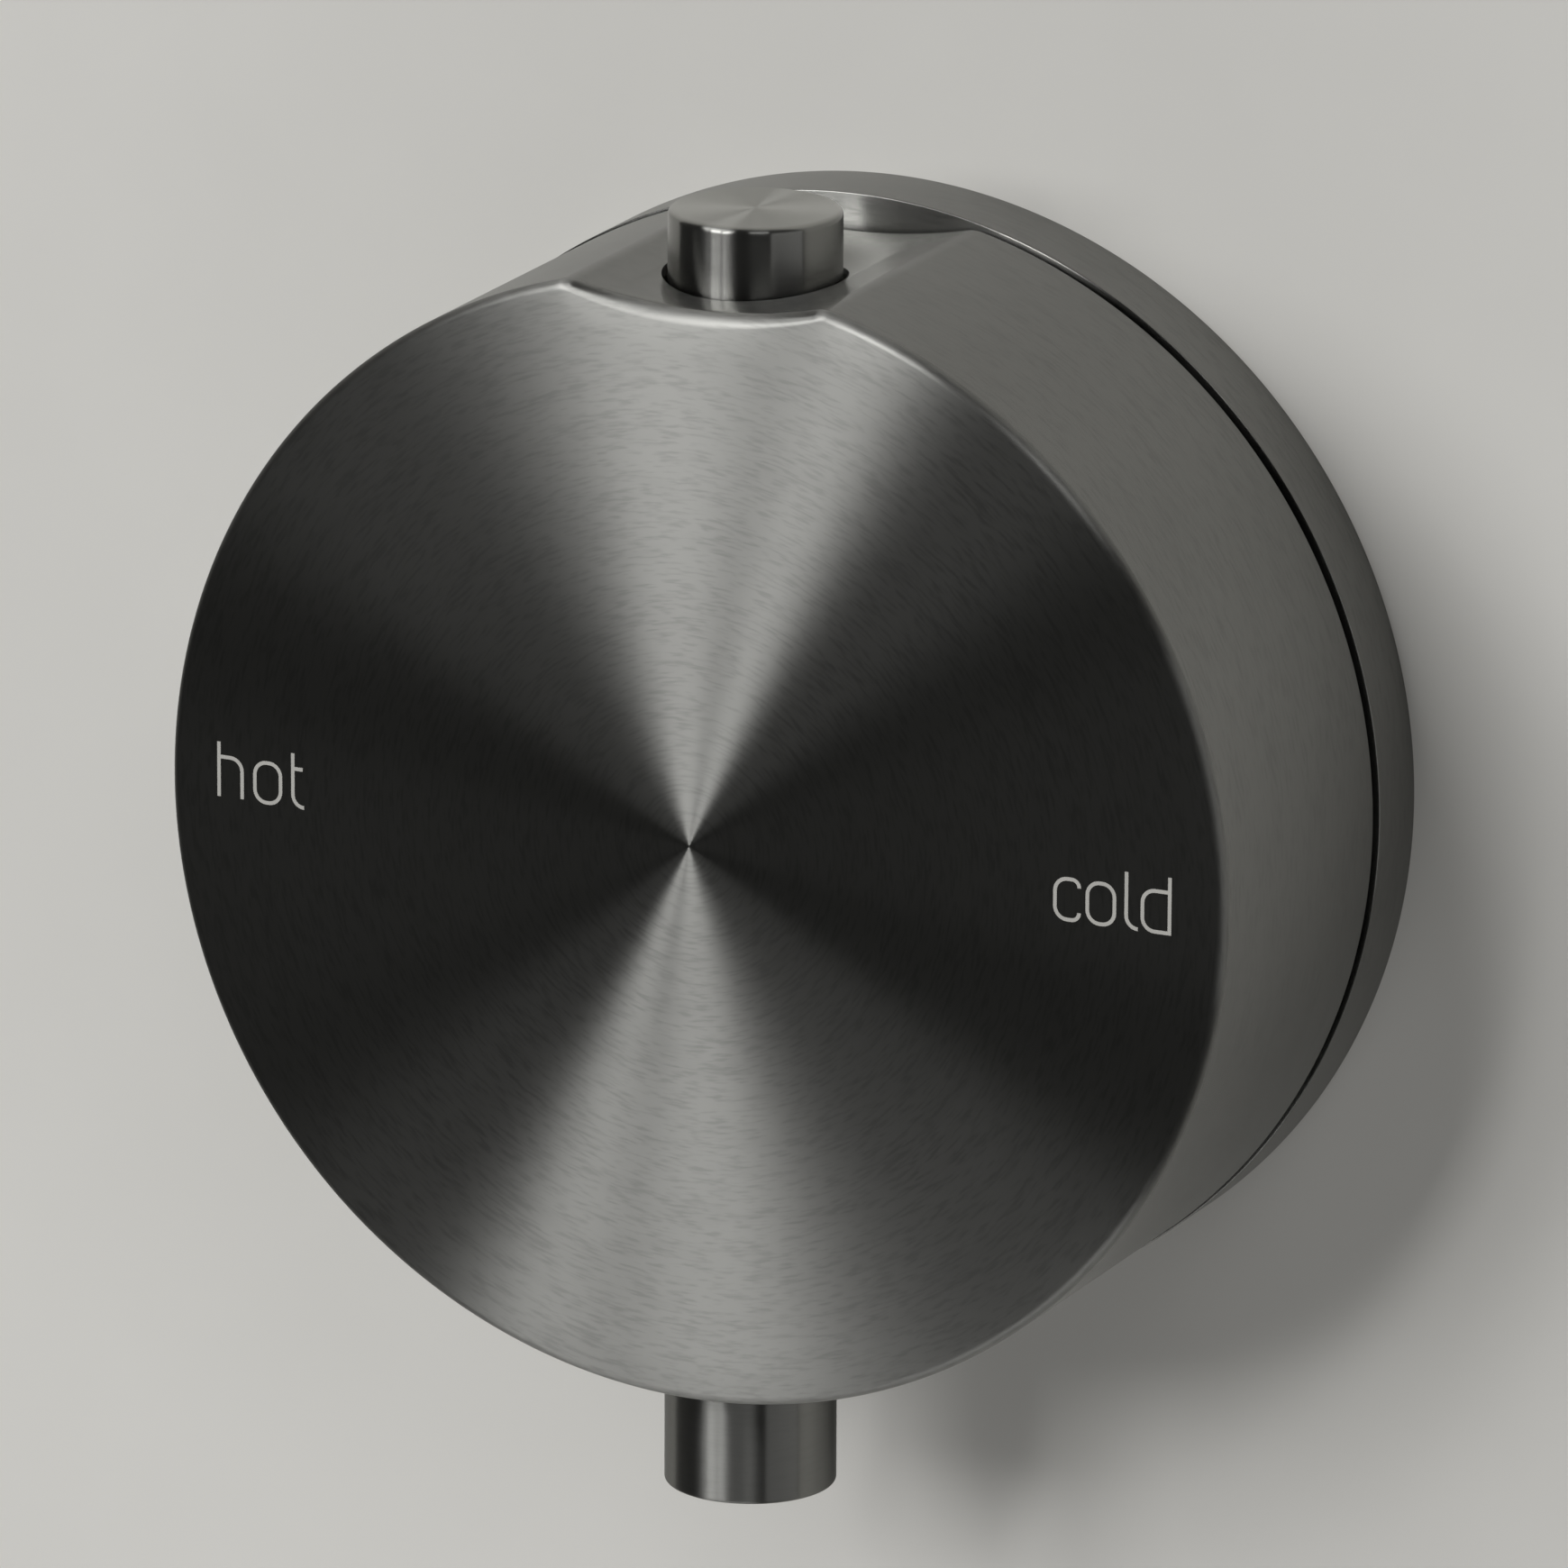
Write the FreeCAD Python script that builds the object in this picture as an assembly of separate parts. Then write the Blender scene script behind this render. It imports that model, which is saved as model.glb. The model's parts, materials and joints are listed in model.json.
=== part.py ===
import FreeCAD
import Part
import math
import os

from FreeCAD import Vector

# Round wall mixer. A drum dial turns on a wall flange for temperature, a push button in the top of the
# drum opens the water, and a short outlet hangs below through an arc slot in the drum.
# Frame: the wall is the plane y = 0, the front faces -Y, up is +Z, and the dial turns on the Y axis.
# All sizes are in millimetres. Angles are in degrees, from +X towards +Z as seen from the front.

# Dial
dial_radius = 60.0
dial_depth = 38.0
dial_wall = 5.5
face_thickness = 5.0
front_edge_round = 0.8
rear_edge_round = 0.4
scoop_depth = 3.45
scoop_radius = 60.0
scoop_corner_round = 3.0
dial_turn = 30.0

# Flange and wall plate
reveal_gap = 1.0
flange_overhang = 0.2
flange_depth = 9.0
flange_skin = 3.0
flange_rim = 3.2
flange_edge = 0.4
spigot_length = 6.8
spigot_wall = 1.8
glide_thickness = 3.05
glide_lead = 0.4
gasket_width = 1.6
gasket_depth = 1.5
plate_thickness = 3.0
plate_margin = 2.0
wall_hole_margin = 9.5
wall_hole_radius = 2.6
wall_hole_sink = 1.5
wall_hole_count = 4
post_radius = 4.2

# Button and its guide
button_inset = 15.2
button_radius = 9.0
button_height = 7.5
button_gap = 0.62
button_edge_round = 0.4
button_travel = 4.0
cap_crown = 7.0
cap_wall = 1.0
bush_cover = 2.55
bush_length = 13.4
bush_wall = 2.0
bush_floor = 2.4
boss_wall = 3.0
boss_lip = 0.8
circlip_thickness = 1.2
circlip_bite = 0.8
circlip_inside = 1.2
circlip_mouth = 2.5
clip_thickness = 0.8
clip_bite = 0.8
clip_radius = 6.6
clip_mouth = 2.8
wiper_top = 1.8
wiper_width = 1.6
wiper_depth = 1.1
wiper_cord = 0.5
stem_radius = 4.0
stem_grip = 3.5
pin_radius = 3.0

# Hub, on the back of the face plate
hub_radius = 13.0
hub_flange_radius = 20.0
hub_flange_thickness = 4.0
hub_screw_margin = 4.0
hub_screw_grip = 2.6
hub_screw_sink = 1.6
hub_web = 2.15
grub_inset = 2.4
grub_radius = 2.0
grub_length = 6.0
key_radius = 1.7
key_angle = 225.0

# Valve body, through the wall
body_nose = 14.0
body_tail = 24.0
body_rim = 0.4
tail_chamfer = 1.0
collar_width = 7.0
collar_thickness = 2.6
chamber_depth = 20.0
chamber_wall = 0.6
chamber_rim = 0.4
well_radius = 5.9
well_depth = 11.0
well_wall = 1.7
well_end = 1.4
passage_radius = 2.6
passage_wall = 2.5
nipple_radius = 5.0
nipple_bore = 3.2
nipple_seat = 10.0
nipple_reach = 12.0
nipple_chamfer = 0.6
nipple_collar = 4.0
nipple_flats = 12.0
filter_length = 6.0
filter_wall = 0.5
filter_setback = 0.5
filter_hole = 0.45
filter_circle = 1.6

# Cartridge
base_thickness = 4.0
disc_thickness = 3.0
port_half_width = 2.2
port_half_angle = 16.0
centre_port = 4.4
hollow_margin = 2.4
seat_radius = 3.4
seat_lap = 1.1
dog_width = 2.2
dog_depth = 1.4
dog_half_angle = 10.0
carrier_thickness = 3.9
carrier_pocket = 2.5
spindle_radius = 5.5
spindle_head_lip = 2.5
spindle_head_flat = 0.5
housing_wall = 1.7
housing_cap = 4.0
nose_wall = 2.4
nose_flat_depth = 1.0
nut_height = 4.0
nut_thread = 2.0
nut_slot = 1.6
stop_thickness = 2.5
stop_margin = 1.0
stop_tooth_width = 2.4
stop_tooth_margin = 0.4
stop_tooth_half_angle = 8.0
poppet_rod = 1.5
poppet_head = 2.0
poppet_pad = 1.2
poppet_spigot = 1.5

# Outlet and its arm
outlet_radius = 9.0
outlet_drop = 12.9
outlet_edge_round = 0.5
outlet_bore = 3.6
neck_radius = 6.0
thread_radius = 5.0
thread_length = 12.0
column_radius = 8.5
arm_pad = 4.0
arm_pad_half_angle = 46.0
arm_screw_half_angle = 35.0
arm_bar_half_width = 6.0
arm_bar_round = 1.5
arm_column_gap = 2.0
shield_thickness = 1.2
shield_overlap = 2.3
aerator_radius = 7.6
aerator_depth = 10.0
aerator_recess = 0.5
aerator_wall = 1.2
aerator_ledge = 1.2
aerator_ledge_thickness = 1.0
notch_radius = 1.0
notch_depth = 0.9
grid_inset = 1.0
grid_thickness = 1.2
grid_hole_radius = 0.85
grid_pitch = 2.3
grid_rings = 2
washer_thickness = 1.5
washer_width = 3.0

# Countersunk screws
screw_radius = 1.75
screw_head_radius = 3.3
screw_key = 2.6
screw_key_depth = 1.4
screw_setback = 0.5

# Socket screws
socket_radius = 1.5
socket_head_radius = 2.75
socket_head_height = 2.6
socket_key = 2.5
arm_screw_grip = 6.0

# Seal rings: groove depth in each shaft, spare width, and the faces' rings
spindle_seal = 1.0
pin_seal = 0.8
housing_seal = 1.1
nipple_seal = 0.9
outlet_seal = 0.8
seal_slack = 0.5
face_seal_land = 0.5
face_seal_width = 1.4

# Springs
button_wire = 0.45
button_coils = 6
valve_wire = 0.3
valve_coils = 5
valve_spring_radius = 3.4

# Clearances
running = 0.05
fitted = 0.02
free = 0.3
open_gap = 0.4

# How far a cutting shape reaches past what it cuts
beyond = 1.0

# Places along Y, from the wall forward
plate_front = -plate_thickness
flange_front = -flange_depth
flange_back = flange_front + flange_skin
dial_rear = flange_front - reveal_gap
dial_front = dial_rear - dial_depth
cavity_front = dial_front + face_thickness
axis_y = dial_front + button_inset
body_front = -body_nose
collar_front = plate_front - collar_thickness
chamber_floor = body_front + chamber_depth
well_floor = chamber_floor + well_depth
base_front = chamber_floor - base_thickness
fixed_front = base_front - disc_thickness
moving_front = fixed_front - disc_thickness
carrier_front = moving_front - carrier_thickness
housing_step = carrier_front - 2 * running
housing_front = housing_step - housing_cap
nut_back = body_front + nut_thread
nut_front = nut_back - nut_height
stop_back = nut_front - 2 * running
stop_front = stop_back - stop_thickness
hub_rear = stop_front - open_gap
hub_flange_rear = cavity_front + hub_flange_thickness
hub_screw_seat = hub_flange_rear - hub_screw_sink
spindle_front = axis_y + stem_radius + running + hub_web
spindle_seal_places = [housing_step - housing_cap * share for share in (0.3, 0.7)]
housing_seal_place = housing_step - housing_cap / 2
nipple_seal_places = [body_tail - nipple_seat * share for share in (0.3, 0.6)]
grub_y = hub_rear - grub_inset
pin_rear = moving_front - carrier_thickness / 2
pin_seal_place = (spindle_front + stop_front) / 2
outlet_turn_y = well_floor - passage_radius - well_end

# Radii of the cartridge and the body, from the well outwards
face_seal_inner = passage_radius + face_seal_land
face_seal_outer = face_seal_inner + face_seal_width
inlet_offset = well_radius + well_wall + nipple_radius
chamber_radius = inlet_offset + face_seal_outer + chamber_rim
passage_circle = chamber_radius + chamber_wall + face_seal_outer
body_radius = passage_circle + face_seal_outer + body_rim
body_hole = body_radius + free
collar_radius = body_radius + collar_width
collar_screw_circle = body_radius + collar_width / 2
wall_hole_circle = collar_radius + wall_hole_margin
disc_radius = chamber_radius - housing_wall
nose_radius = spindle_radius + nose_wall
nose_flat = nose_radius - nose_flat_depth
stop_radius = chamber_radius - stop_margin
stop_tooth_outer = hub_radius - stop_tooth_margin
stop_tooth_inner = stop_tooth_outer - stop_tooth_width
hub_screw_circle = hub_flange_radius - hub_screw_margin

# Radii of the dial and the flange
bore_radius = dial_radius - dial_wall
flange_radius = dial_radius + flange_overhang
flange_cavity = flange_radius - flange_rim
glide_outer = bore_radius - running
glide_inner = glide_outer - glide_thickness
spigot_inner = glide_inner - spigot_wall
plate_radius = flange_cavity - plate_margin
gasket_middle = flange_radius - flange_rim / 2

# Heights
scoop_floor = dial_radius - scoop_depth
scoop_centre = scoop_floor + scoop_radius
button_top = scoop_floor + button_height
well_mouth_radius = button_radius + button_gap
bush_top = scoop_floor - bush_cover
bush_bottom = bush_top - bush_length
bush_floor_top = bush_bottom + bush_floor
bush_radius = button_radius + running + bush_wall
boss_radius = bush_radius + boss_wall
wiper_low = bush_top - wiper_top - wiper_width
wiper_high = bush_top - wiper_top
circlip_bottom = bush_bottom - circlip_thickness
boss_bottom = circlip_bottom - boss_lip
cap_bottom = bush_floor_top + button_travel + free
cap_ceiling = button_top - cap_crown
hub_well_bottom = -(stem_radius + button_travel + 2 * free)
passage_z = -passage_circle
shield_outer = bore_radius - open_gap
shield_inner = shield_outer - shield_thickness
slot_half_width = neck_radius + free
slot_half_angle = dial_turn + math.degrees(free / dial_radius)
shield_margin = math.degrees((slot_half_width + shield_overlap) / bore_radius)
shield_half_angle = slot_half_angle + dial_turn + shield_margin
outlet_bottom = -(dial_radius + outlet_drop)
thread_top = -(shield_outer - thread_length)
outlet_seal_place = thread_top - 3 * outlet_seal
arm_bottom = -math.sqrt(shield_inner ** 2 - column_radius ** 2)
column_top = -(hub_flange_radius + arm_column_gap)
grid_bottom = outlet_bottom + aerator_recess + grid_inset
grid_top = grid_bottom + grid_thickness


def along_y(radius, start, end, x=0.0, z=0.0):
    """Cylinder along Y between two places."""
    return Part.makeCylinder(radius, end - start, Vector(x, start, z), Vector(0, 1, 0))


def along_z(radius, bottom, top, x=0.0, y=axis_y):
    """Upright cylinder, on the button's and outlet's axis unless another is given."""
    return Part.makeCylinder(radius, top - bottom, Vector(x, y, bottom))


def ring(outer, inner, start, end, x=0.0, z=0.0):
    """Tube along Y."""
    return along_y(outer, start, end, x, z).cut(along_y(inner, start - beyond, end + beyond, x, z))


def upright_ring(outer, inner, bottom, top):
    """Tube on the button's and outlet's axis."""
    return along_z(outer, bottom, top).cut(along_z(inner, bottom - beyond, top + beyond))


def block(x_range, y_range, z_range):
    """Box between pairs of coordinates."""
    corner = Vector(x_range[0], y_range[0], z_range[0])
    return Part.makeBox(x_range[1] - x_range[0], y_range[1] - y_range[0], z_range[1] - z_range[0], corner)


def at_angle(radius, angle, y=0.0):
    """Point at a radius and angle round the dial's axis."""
    turn = math.radians(angle)
    return Vector(radius * math.cos(turn), y, radius * math.sin(turn))


def sector(inner, outer, start, end, centre, half_angle):
    """Part of a tube along Y, between two angles."""
    angles = (centre - half_angle, centre, centre + half_angle)
    a, b, c = [at_angle(outer, angle, start) for angle in angles]
    d, e, f = [at_angle(inner, angle, start) for angle in angles]
    edges = [Part.Arc(a, b, c), Part.LineSegment(c, f), Part.Arc(f, e, d), Part.LineSegment(d, a)]
    outline = Part.Wire([edge.toShape() for edge in edges])
    return Part.Face(outline).extrude(Vector(0, end - start, 0))


def kidney(circle, half_width, half_angle, start, end, centre):
    """Arc slot with round ends, cut along Y."""
    shape = sector(circle - half_width, circle + half_width, start, end, centre, half_angle)
    for side in (-1, 1):
        spot = at_angle(circle, centre + side * half_angle)
        shape = shape.fuse(along_y(half_width, start, end, spot.x, spot.z))
    return shape.removeSplitter()


def radial_cylinder(radius, inner, outer, angle, y):
    """Cylinder that points away from the dial's axis."""
    direction = at_angle(1, angle)
    return Part.makeCylinder(radius, outer - inner, at_angle(inner, angle, y), direction)


def flatted(radius, half_width, start, end):
    """Cylinder along Y with two flats."""
    between_flats = block((-half_width, half_width), (start, end), (-radius, radius))
    return along_y(radius, start, end).common(between_flats)


def prism(sides, half_flats, start, end, x=0.0, z=0.0, first=0.0):
    """Regular prism along Y, by the radius of the circle that its flats touch."""
    corner = half_flats / math.cos(math.pi / sides)
    points = [at_angle(corner, first + 360.0 * k / sides, start) + Vector(x, 0, z) for k in range(sides + 1)]
    return Part.Face(Part.makePolygon(points)).extrude(Vector(0, end - start, 0))


def o_ring(shaft, depth, gap, y, x=0.0, z=0.0):
    """Seal ring in a shaft's groove, which reaches the bore round the shaft."""
    cord = (depth + gap) / 2 - fitted
    return Part.makeTorus(shaft - depth + cord + fitted, cord, Vector(x, y, z), Vector(0, 1, 0))


def groove(shaft, depth, y, x=0.0, z=0.0):
    """What is cut away for that ring."""
    half = (depth + seal_slack) / 2
    return ring(shaft + beyond, shaft - depth, y - half, y + half, x, z)


def face_seal(y, x=0.0, z=0.0):
    """Ring round a passage between two flat faces, by the middle of its cord."""
    cord = face_seal_width / 2 - fitted
    return Part.makeTorus((face_seal_inner + face_seal_outer) / 2, cord, Vector(x, y, z), Vector(0, 1, 0))


def countersunk_screw(front, length, x, z):
    """Screw that enters towards the wall, with its head flush at front."""
    cone = screw_head_radius - screw_radius
    head = Part.makeCone(screw_head_radius, screw_radius, cone, Vector(x, front, z), Vector(0, 1, 0))
    shank = along_y(screw_radius, front, front + length, x, z)
    key = prism(6, screw_key / 2, front - beyond, front + screw_key_depth, x, z)
    return head.fuse(shank).cut(key).removeSplitter()


def countersink(front, x, z, hole_radius=screw_radius):
    """Seat for such a screw, with its through hole left to the piece."""
    cone = screw_head_radius - hole_radius
    return Part.makeCone(screw_head_radius, hole_radius, cone, Vector(x, front, z), Vector(0, 1, 0))


def circle_of(radius, count, first):
    """Places evenly round the dial's axis."""
    return [at_angle(radius, first + 360.0 * k / count) for k in range(count)]


def group(shapes):
    """Separate solids kept in one node."""
    return Part.makeCompound(shapes)


def biarc(start, start_way, end, end_way):
    """Two arcs that leave start and reach end along the given unit directions."""
    gap = end - start
    ways = start_way + end_way
    bend = 2 * (1 - start_way.dot(end_way))
    reach = (-gap.dot(ways) + math.sqrt(gap.dot(ways) ** 2 + bend * gap.dot(gap))) / bend
    middle = (start + start_way * reach + end - end_way * reach) / 2
    edges = []
    for a, way, b in ((start, start_way, middle), (end, end_way * -1, middle)):
        chord = b - a
        side = way - chord * (way.dot(chord) / chord.dot(chord))
        rise = chord.Length / 2 * math.tan(chord.getAngle(way) / 2)
        top = (a + b) / 2 + side.normalize() * rise
        ends = (a, b) if a == start else (b, a)
        edges.append(Part.Arc(ends[0], top, ends[1]).toShape())
    return edges


def coil_spring(radius, wire, turns, start, way, across):
    """Open coil spring whose axis runs from start along the vector way."""
    axis = Vector(way).normalize()
    other = axis.cross(across)
    steps = 4 * turns

    def point(step):
        turn = math.pi / 2 * step
        rise = wire + (way.Length - 2 * wire) * step / steps
        return start + axis * rise + across * (radius * math.cos(turn)) + other * (radius * math.sin(turn))

    def heading(step):
        turn = math.pi / 2 * step
        climb = axis * ((way.Length - 2 * wire) / (turns * 2 * math.pi * radius))
        return (other * math.cos(turn) - across * math.sin(turn) + climb).normalize()

    edges = []
    for step in range(steps):
        edges += biarc(point(step), heading(step), point(step + 1), heading(step + 1))
    section = Part.Wire(Part.makeCircle(wire, point(0), heading(0)))
    return Part.Wire(edges).makePipeShell([section], True, False)


def edges_where(shape, wanted):
    """Edges whose every sampled point passes a test."""
    found = []
    for edge in shape.Edges:
        low, high = edge.ParameterRange
        points = [edge.valueAt(low + (high - low) * k / 4) for k in range(5)]
        if all(wanted(p) for p in points):
            found.append(edge)
    return found


def near(value, target):
    """Whether two lengths match to a hundredth of a millimetre."""
    return abs(value - target) < 0.01


hub_screw_places = circle_of(hub_screw_circle, 3, 90)
post_places = circle_of(wall_hole_circle, 3, 90)
collar_screw_places = circle_of(collar_screw_circle, 3, 30)
arm_screw_places = [at_angle(passage_circle, -90 + side * arm_screw_half_angle) for side in (-1, 1)]


def dial_shell():
    """Turned cup with the milled scoop, the button's boss, the outlet's slot and the key hole."""
    shape = along_y(dial_radius, dial_front, dial_rear)
    shape = shape.cut(along_y(scoop_radius, dial_front - beyond, dial_rear + beyond, 0, scoop_centre))
    corners = edges_where(shape, lambda p: near(math.hypot(p.x, p.z), dial_radius)
                          and near(math.hypot(p.x, p.z - scoop_centre), scoop_radius))
    shape = shape.makeFillet(scoop_corner_round, corners)
    shape = shape.makeFillet(front_edge_round, edges_where(shape, lambda p: near(p.y, dial_front)))
    shape = shape.makeFillet(rear_edge_round, edges_where(shape, lambda p: near(p.y, dial_rear)))
    shape = shape.cut(along_y(bore_radius, cavity_front, dial_rear + beyond))
    boss = along_z(boss_radius, boss_bottom, bush_top)
    boss = boss.common(along_y(bore_radius + dial_wall / 4, cavity_front - face_thickness / 2, dial_rear))
    shape = shape.fuse(boss).removeSplitter()
    shape = shape.cut(along_z(well_mouth_radius, bush_top - beyond, button_top))
    shape = shape.cut(along_z(bush_radius, boss_bottom - beyond, bush_top))
    shape = shape.cut(along_z(bush_radius + circlip_bite, circlip_bottom, bush_bottom))
    shape = shape.cut(outlet_slot())
    shape = shape.cut(radial_cylinder(key_radius, hub_radius, dial_radius + beyond, key_angle, grub_y))
    start, end = cavity_front - hub_screw_grip, cavity_front + beyond
    for spot in hub_screw_places:
        shape = shape.cut(along_y(socket_radius, start, end, spot.x, spot.z))
    return shape


def outlet_slot():
    """Arc slot that lets the dial turn round the outlet's neck, with round ends."""
    outer = dial_radius + beyond
    low, high = axis_y - slot_half_width, axis_y + slot_half_width
    shape = sector(shield_inner, outer, low, high, -90, slot_half_angle)
    for side in (-1, 1):
        angle = -90 + side * slot_half_angle
        shape = shape.fuse(radial_cylinder(slot_half_width, shield_inner, outer, angle, axis_y))
    return shape


def dial_hub():
    """Brass hub: flange on the face plate, socket for the spindle, crossing bores for stem and pin."""
    shape = along_y(hub_flange_radius, cavity_front, hub_flange_rear)
    shape = shape.fuse(along_y(hub_radius, cavity_front, hub_rear))
    start, end = hub_rear - stop_tooth_width, stop_back - fitted
    tooth = sector(stop_tooth_inner, stop_tooth_outer, start, end, 90, stop_tooth_half_angle)
    shape = shape.fuse(tooth).removeSplitter()
    shape = shape.cut(along_y(spindle_radius + fitted, spindle_front - fitted, hub_rear + beyond))
    shape = shape.cut(along_y(pin_radius + running, axis_y, hub_rear + beyond))
    shape = shape.cut(along_z(stem_radius + running, hub_well_bottom, hub_radius + beyond))
    shape = shape.cut(radial_cylinder(grub_radius + fitted, 0, hub_radius + beyond, key_angle, grub_y))
    for spot in hub_screw_places:
        shape = shape.cut(along_y(socket_radius + fitted, cavity_front - beyond, hub_rear, spot.x, spot.z))
        shape = shape.cut(along_y(socket_head_radius + fitted, hub_screw_seat, hub_rear, spot.x, spot.z))
    return shape


def hub_screws():
    """Three socket screws from behind, through the hub's flange into the face plate."""
    top = hub_screw_seat + socket_head_height
    screws = []
    for spot in hub_screw_places:
        shank = along_y(socket_radius, cavity_front - hub_screw_grip, hub_screw_seat, spot.x, spot.z)
        head = along_y(socket_head_radius, hub_screw_seat, top, spot.x, spot.z)
        key = prism(6, socket_key / 2, top - socket_head_height / 2, top + beyond, spot.x, spot.z)
        screws.append(shank.fuse(head).cut(key))
    return group(screws)


def hub_grub_screw():
    """Set screw that bears on the spindle."""
    start = spindle_radius + fitted
    end = start + grub_length
    shape = radial_cylinder(grub_radius, start, end, key_angle, grub_y)
    return shape.cut(radial_cylinder(grub_radius / 2, end - grub_length / 2, end + beyond, key_angle, grub_y))


def spindle():
    """Hollow brass spindle with a two-flat head, in the carrier's pocket."""
    front, rear = carrier_front + running, carrier_front + carrier_pocket - running
    shape = flatted(spindle_radius + spindle_head_lip, spindle_radius + spindle_head_flat, front, rear)
    shape = shape.fuse(along_y(spindle_radius, spindle_front, front))
    for y in spindle_seal_places:
        shape = shape.cut(groove(spindle_radius, spindle_seal, y))
    return shape.cut(along_y(pin_radius + running, spindle_front - beyond, moving_front))


def spindle_o_rings():
    """Two seals in the housing's end cap."""
    return group([o_ring(spindle_radius, spindle_seal, running, y) for y in spindle_seal_places])


def disc_carrier():
    """Plastic driver between the spindle's head and the moving disc, with two dogs in the disc's edge."""
    shape = along_y(disc_radius - free, carrier_front, moving_front - fitted)
    head, flat = spindle_radius + spindle_head_lip + running, spindle_radius + spindle_head_flat + running
    shape = shape.cut(flatted(head, flat, carrier_front - beyond, carrier_front + carrier_pocket))
    inner, outer = disc_radius - dog_width, disc_radius - free
    low, high = moving_front - dog_depth, moving_front + dog_depth
    for centre in (90, 270):
        shape = shape.fuse(sector(inner, outer, low, high, centre, dog_half_angle))
    shape = shape.cut(along_y(pin_radius + running, carrier_front - beyond, moving_front + beyond))
    return shape.removeSplitter()


def moving_disc():
    """Ceramic disc: its hollow joins the supply ports to the centre, each half open at rest."""
    rear = fixed_front - fitted
    shape = along_y(disc_radius, moving_front, rear)
    shape = shape.cut(along_y(centre_port, moving_front - beyond, rear + beyond))
    low, high = rear - disc_thickness / 2, rear + beyond
    hollow = along_y(centre_port + hollow_margin, low, high)
    lobe = port_half_angle + math.degrees(port_half_width / inlet_offset)
    for centre in (lobe, 180 - lobe):
        hollow = hollow.fuse(sector(centre_port, inlet_offset + port_half_width, low, high, centre, lobe))
    shape = shape.cut(hollow)
    inner, half = disc_radius - dog_width - free, dog_half_angle + math.degrees(2 * running / disc_radius)
    low, high = moving_front - beyond, moving_front + dog_depth + 2 * running
    for centre in (90, 270):
        shape = shape.cut(sector(inner, disc_radius + beyond, low, high, centre, half))
    return shape


def fixed_disc():
    """Ceramic disc with a kidney port for each supply and the way out in the middle."""
    shape = along_y(disc_radius, fixed_front, base_front)
    low, high = fixed_front - beyond, base_front + beyond
    shape = shape.cut(along_y(centre_port, low, high))
    for centre in (0, 180):
        shape = shape.cut(kidney(inlet_offset, port_half_width, port_half_angle, low, high, centre))
    return shape


def cartridge_base():
    """Plastic floor with the supply ports, the poppet's seat and the ring grooves behind."""
    shape = along_y(chamber_radius - running, base_front, chamber_floor)
    low, high = base_front - beyond, chamber_floor + beyond
    shape = shape.cut(along_y(seat_radius, low, high))
    for x in (-inlet_offset, inlet_offset):
        shape = shape.cut(along_y(passage_radius, low, high, x))
        shape = shape.cut(ring(face_seal_outer, face_seal_inner, chamber_floor - face_seal_width, high, x))
    return shape


def cartridge_seals():
    """Rubber rings round the two supply ports."""
    return group([face_seal(chamber_floor - face_seal_width / 2, x) for x in (-inlet_offset, inlet_offset)])


def cartridge_housing():
    """Plastic cup round discs and carrier, with the nose that carries the stop ring."""
    shape = along_y(chamber_radius - running, housing_front, base_front)
    shape = shape.cut(along_y(disc_radius + running, housing_step, base_front + beyond))
    shape = shape.fuse(flatted(nose_radius, nose_flat, stop_front, housing_front))
    shape = shape.cut(along_y(spindle_radius + running, stop_front - beyond, housing_step + beyond))
    return shape.cut(groove(chamber_radius - running, housing_seal, housing_seal_place)).removeSplitter()


def cartridge_o_ring():
    """The housing's outer seal, round its end cap."""
    return o_ring(chamber_radius - running, housing_seal, running, housing_seal_place)


def cartridge_nut():
    """Brass ring nut with four spanner slots."""
    shape = ring(chamber_radius - running, nose_radius + free, nut_front, housing_front)
    start, end = (nose_radius + chamber_radius) / 2, chamber_radius + beyond
    for angle in (45, 135, 225, 315):
        shape = shape.cut(radial_cylinder(nut_slot, start, end, angle, nut_front))
    return shape


def temperature_stop():
    """Ring on the housing's nose. The hub's tooth swings in its window."""
    shape = along_y(stop_radius, stop_front, stop_back)
    low, high = stop_front - beyond, stop_back + beyond
    shape = shape.cut(flatted(nose_radius + running, nose_flat + running, low, high))
    half = dial_turn + stop_tooth_half_angle + math.degrees(running / stop_tooth_inner)
    return shape.cut(sector(stop_tooth_inner - free, stop_tooth_outer + free, low, high, 90, half))


def poppet():
    """Rod through the discs with a three-flat head in the well."""
    front = chamber_floor + poppet_pad
    rear = front + poppet_head
    shape = along_y(well_radius - 2 * running, front, rear)
    shape = shape.common(prism(3, seat_radius + seat_lap + free, front, rear, 0, 0, 30))
    shape = shape.fuse(along_y(poppet_rod, pin_rear + fitted, rear))
    spigot = valve_spring_radius - valve_wire - free
    return shape.fuse(along_y(spigot, front, rear + poppet_spigot)).removeSplitter()


def poppet_seal():
    """Flat rubber pad that closes the seat."""
    front, rear = chamber_floor + fitted, chamber_floor + poppet_pad
    return ring(seat_radius + seat_lap, poppet_rod + fitted, front, rear)


def valve_spring():
    """Closes the poppet."""
    start = Vector(0, chamber_floor + poppet_pad + poppet_head, 0)
    way = Vector(0, well_floor - start.y, 0)
    return coil_spring(valve_spring_radius, valve_wire, valve_coils, start, way, Vector(1, 0, 0))


def push_pin():
    """Steel pin on the dial's axis. Its sloped end follows the stem's wedge."""
    shape = along_y(pin_radius, axis_y - pin_radius, pin_rear)
    shape = shape.cut(groove(pin_radius, pin_seal, pin_seal_place))
    return shape.cut(wedge_side(fitted, front=True))


def pin_o_ring():
    """Keeps the water behind the pin."""
    return o_ring(pin_radius, pin_seal, running, pin_seal_place)


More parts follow.
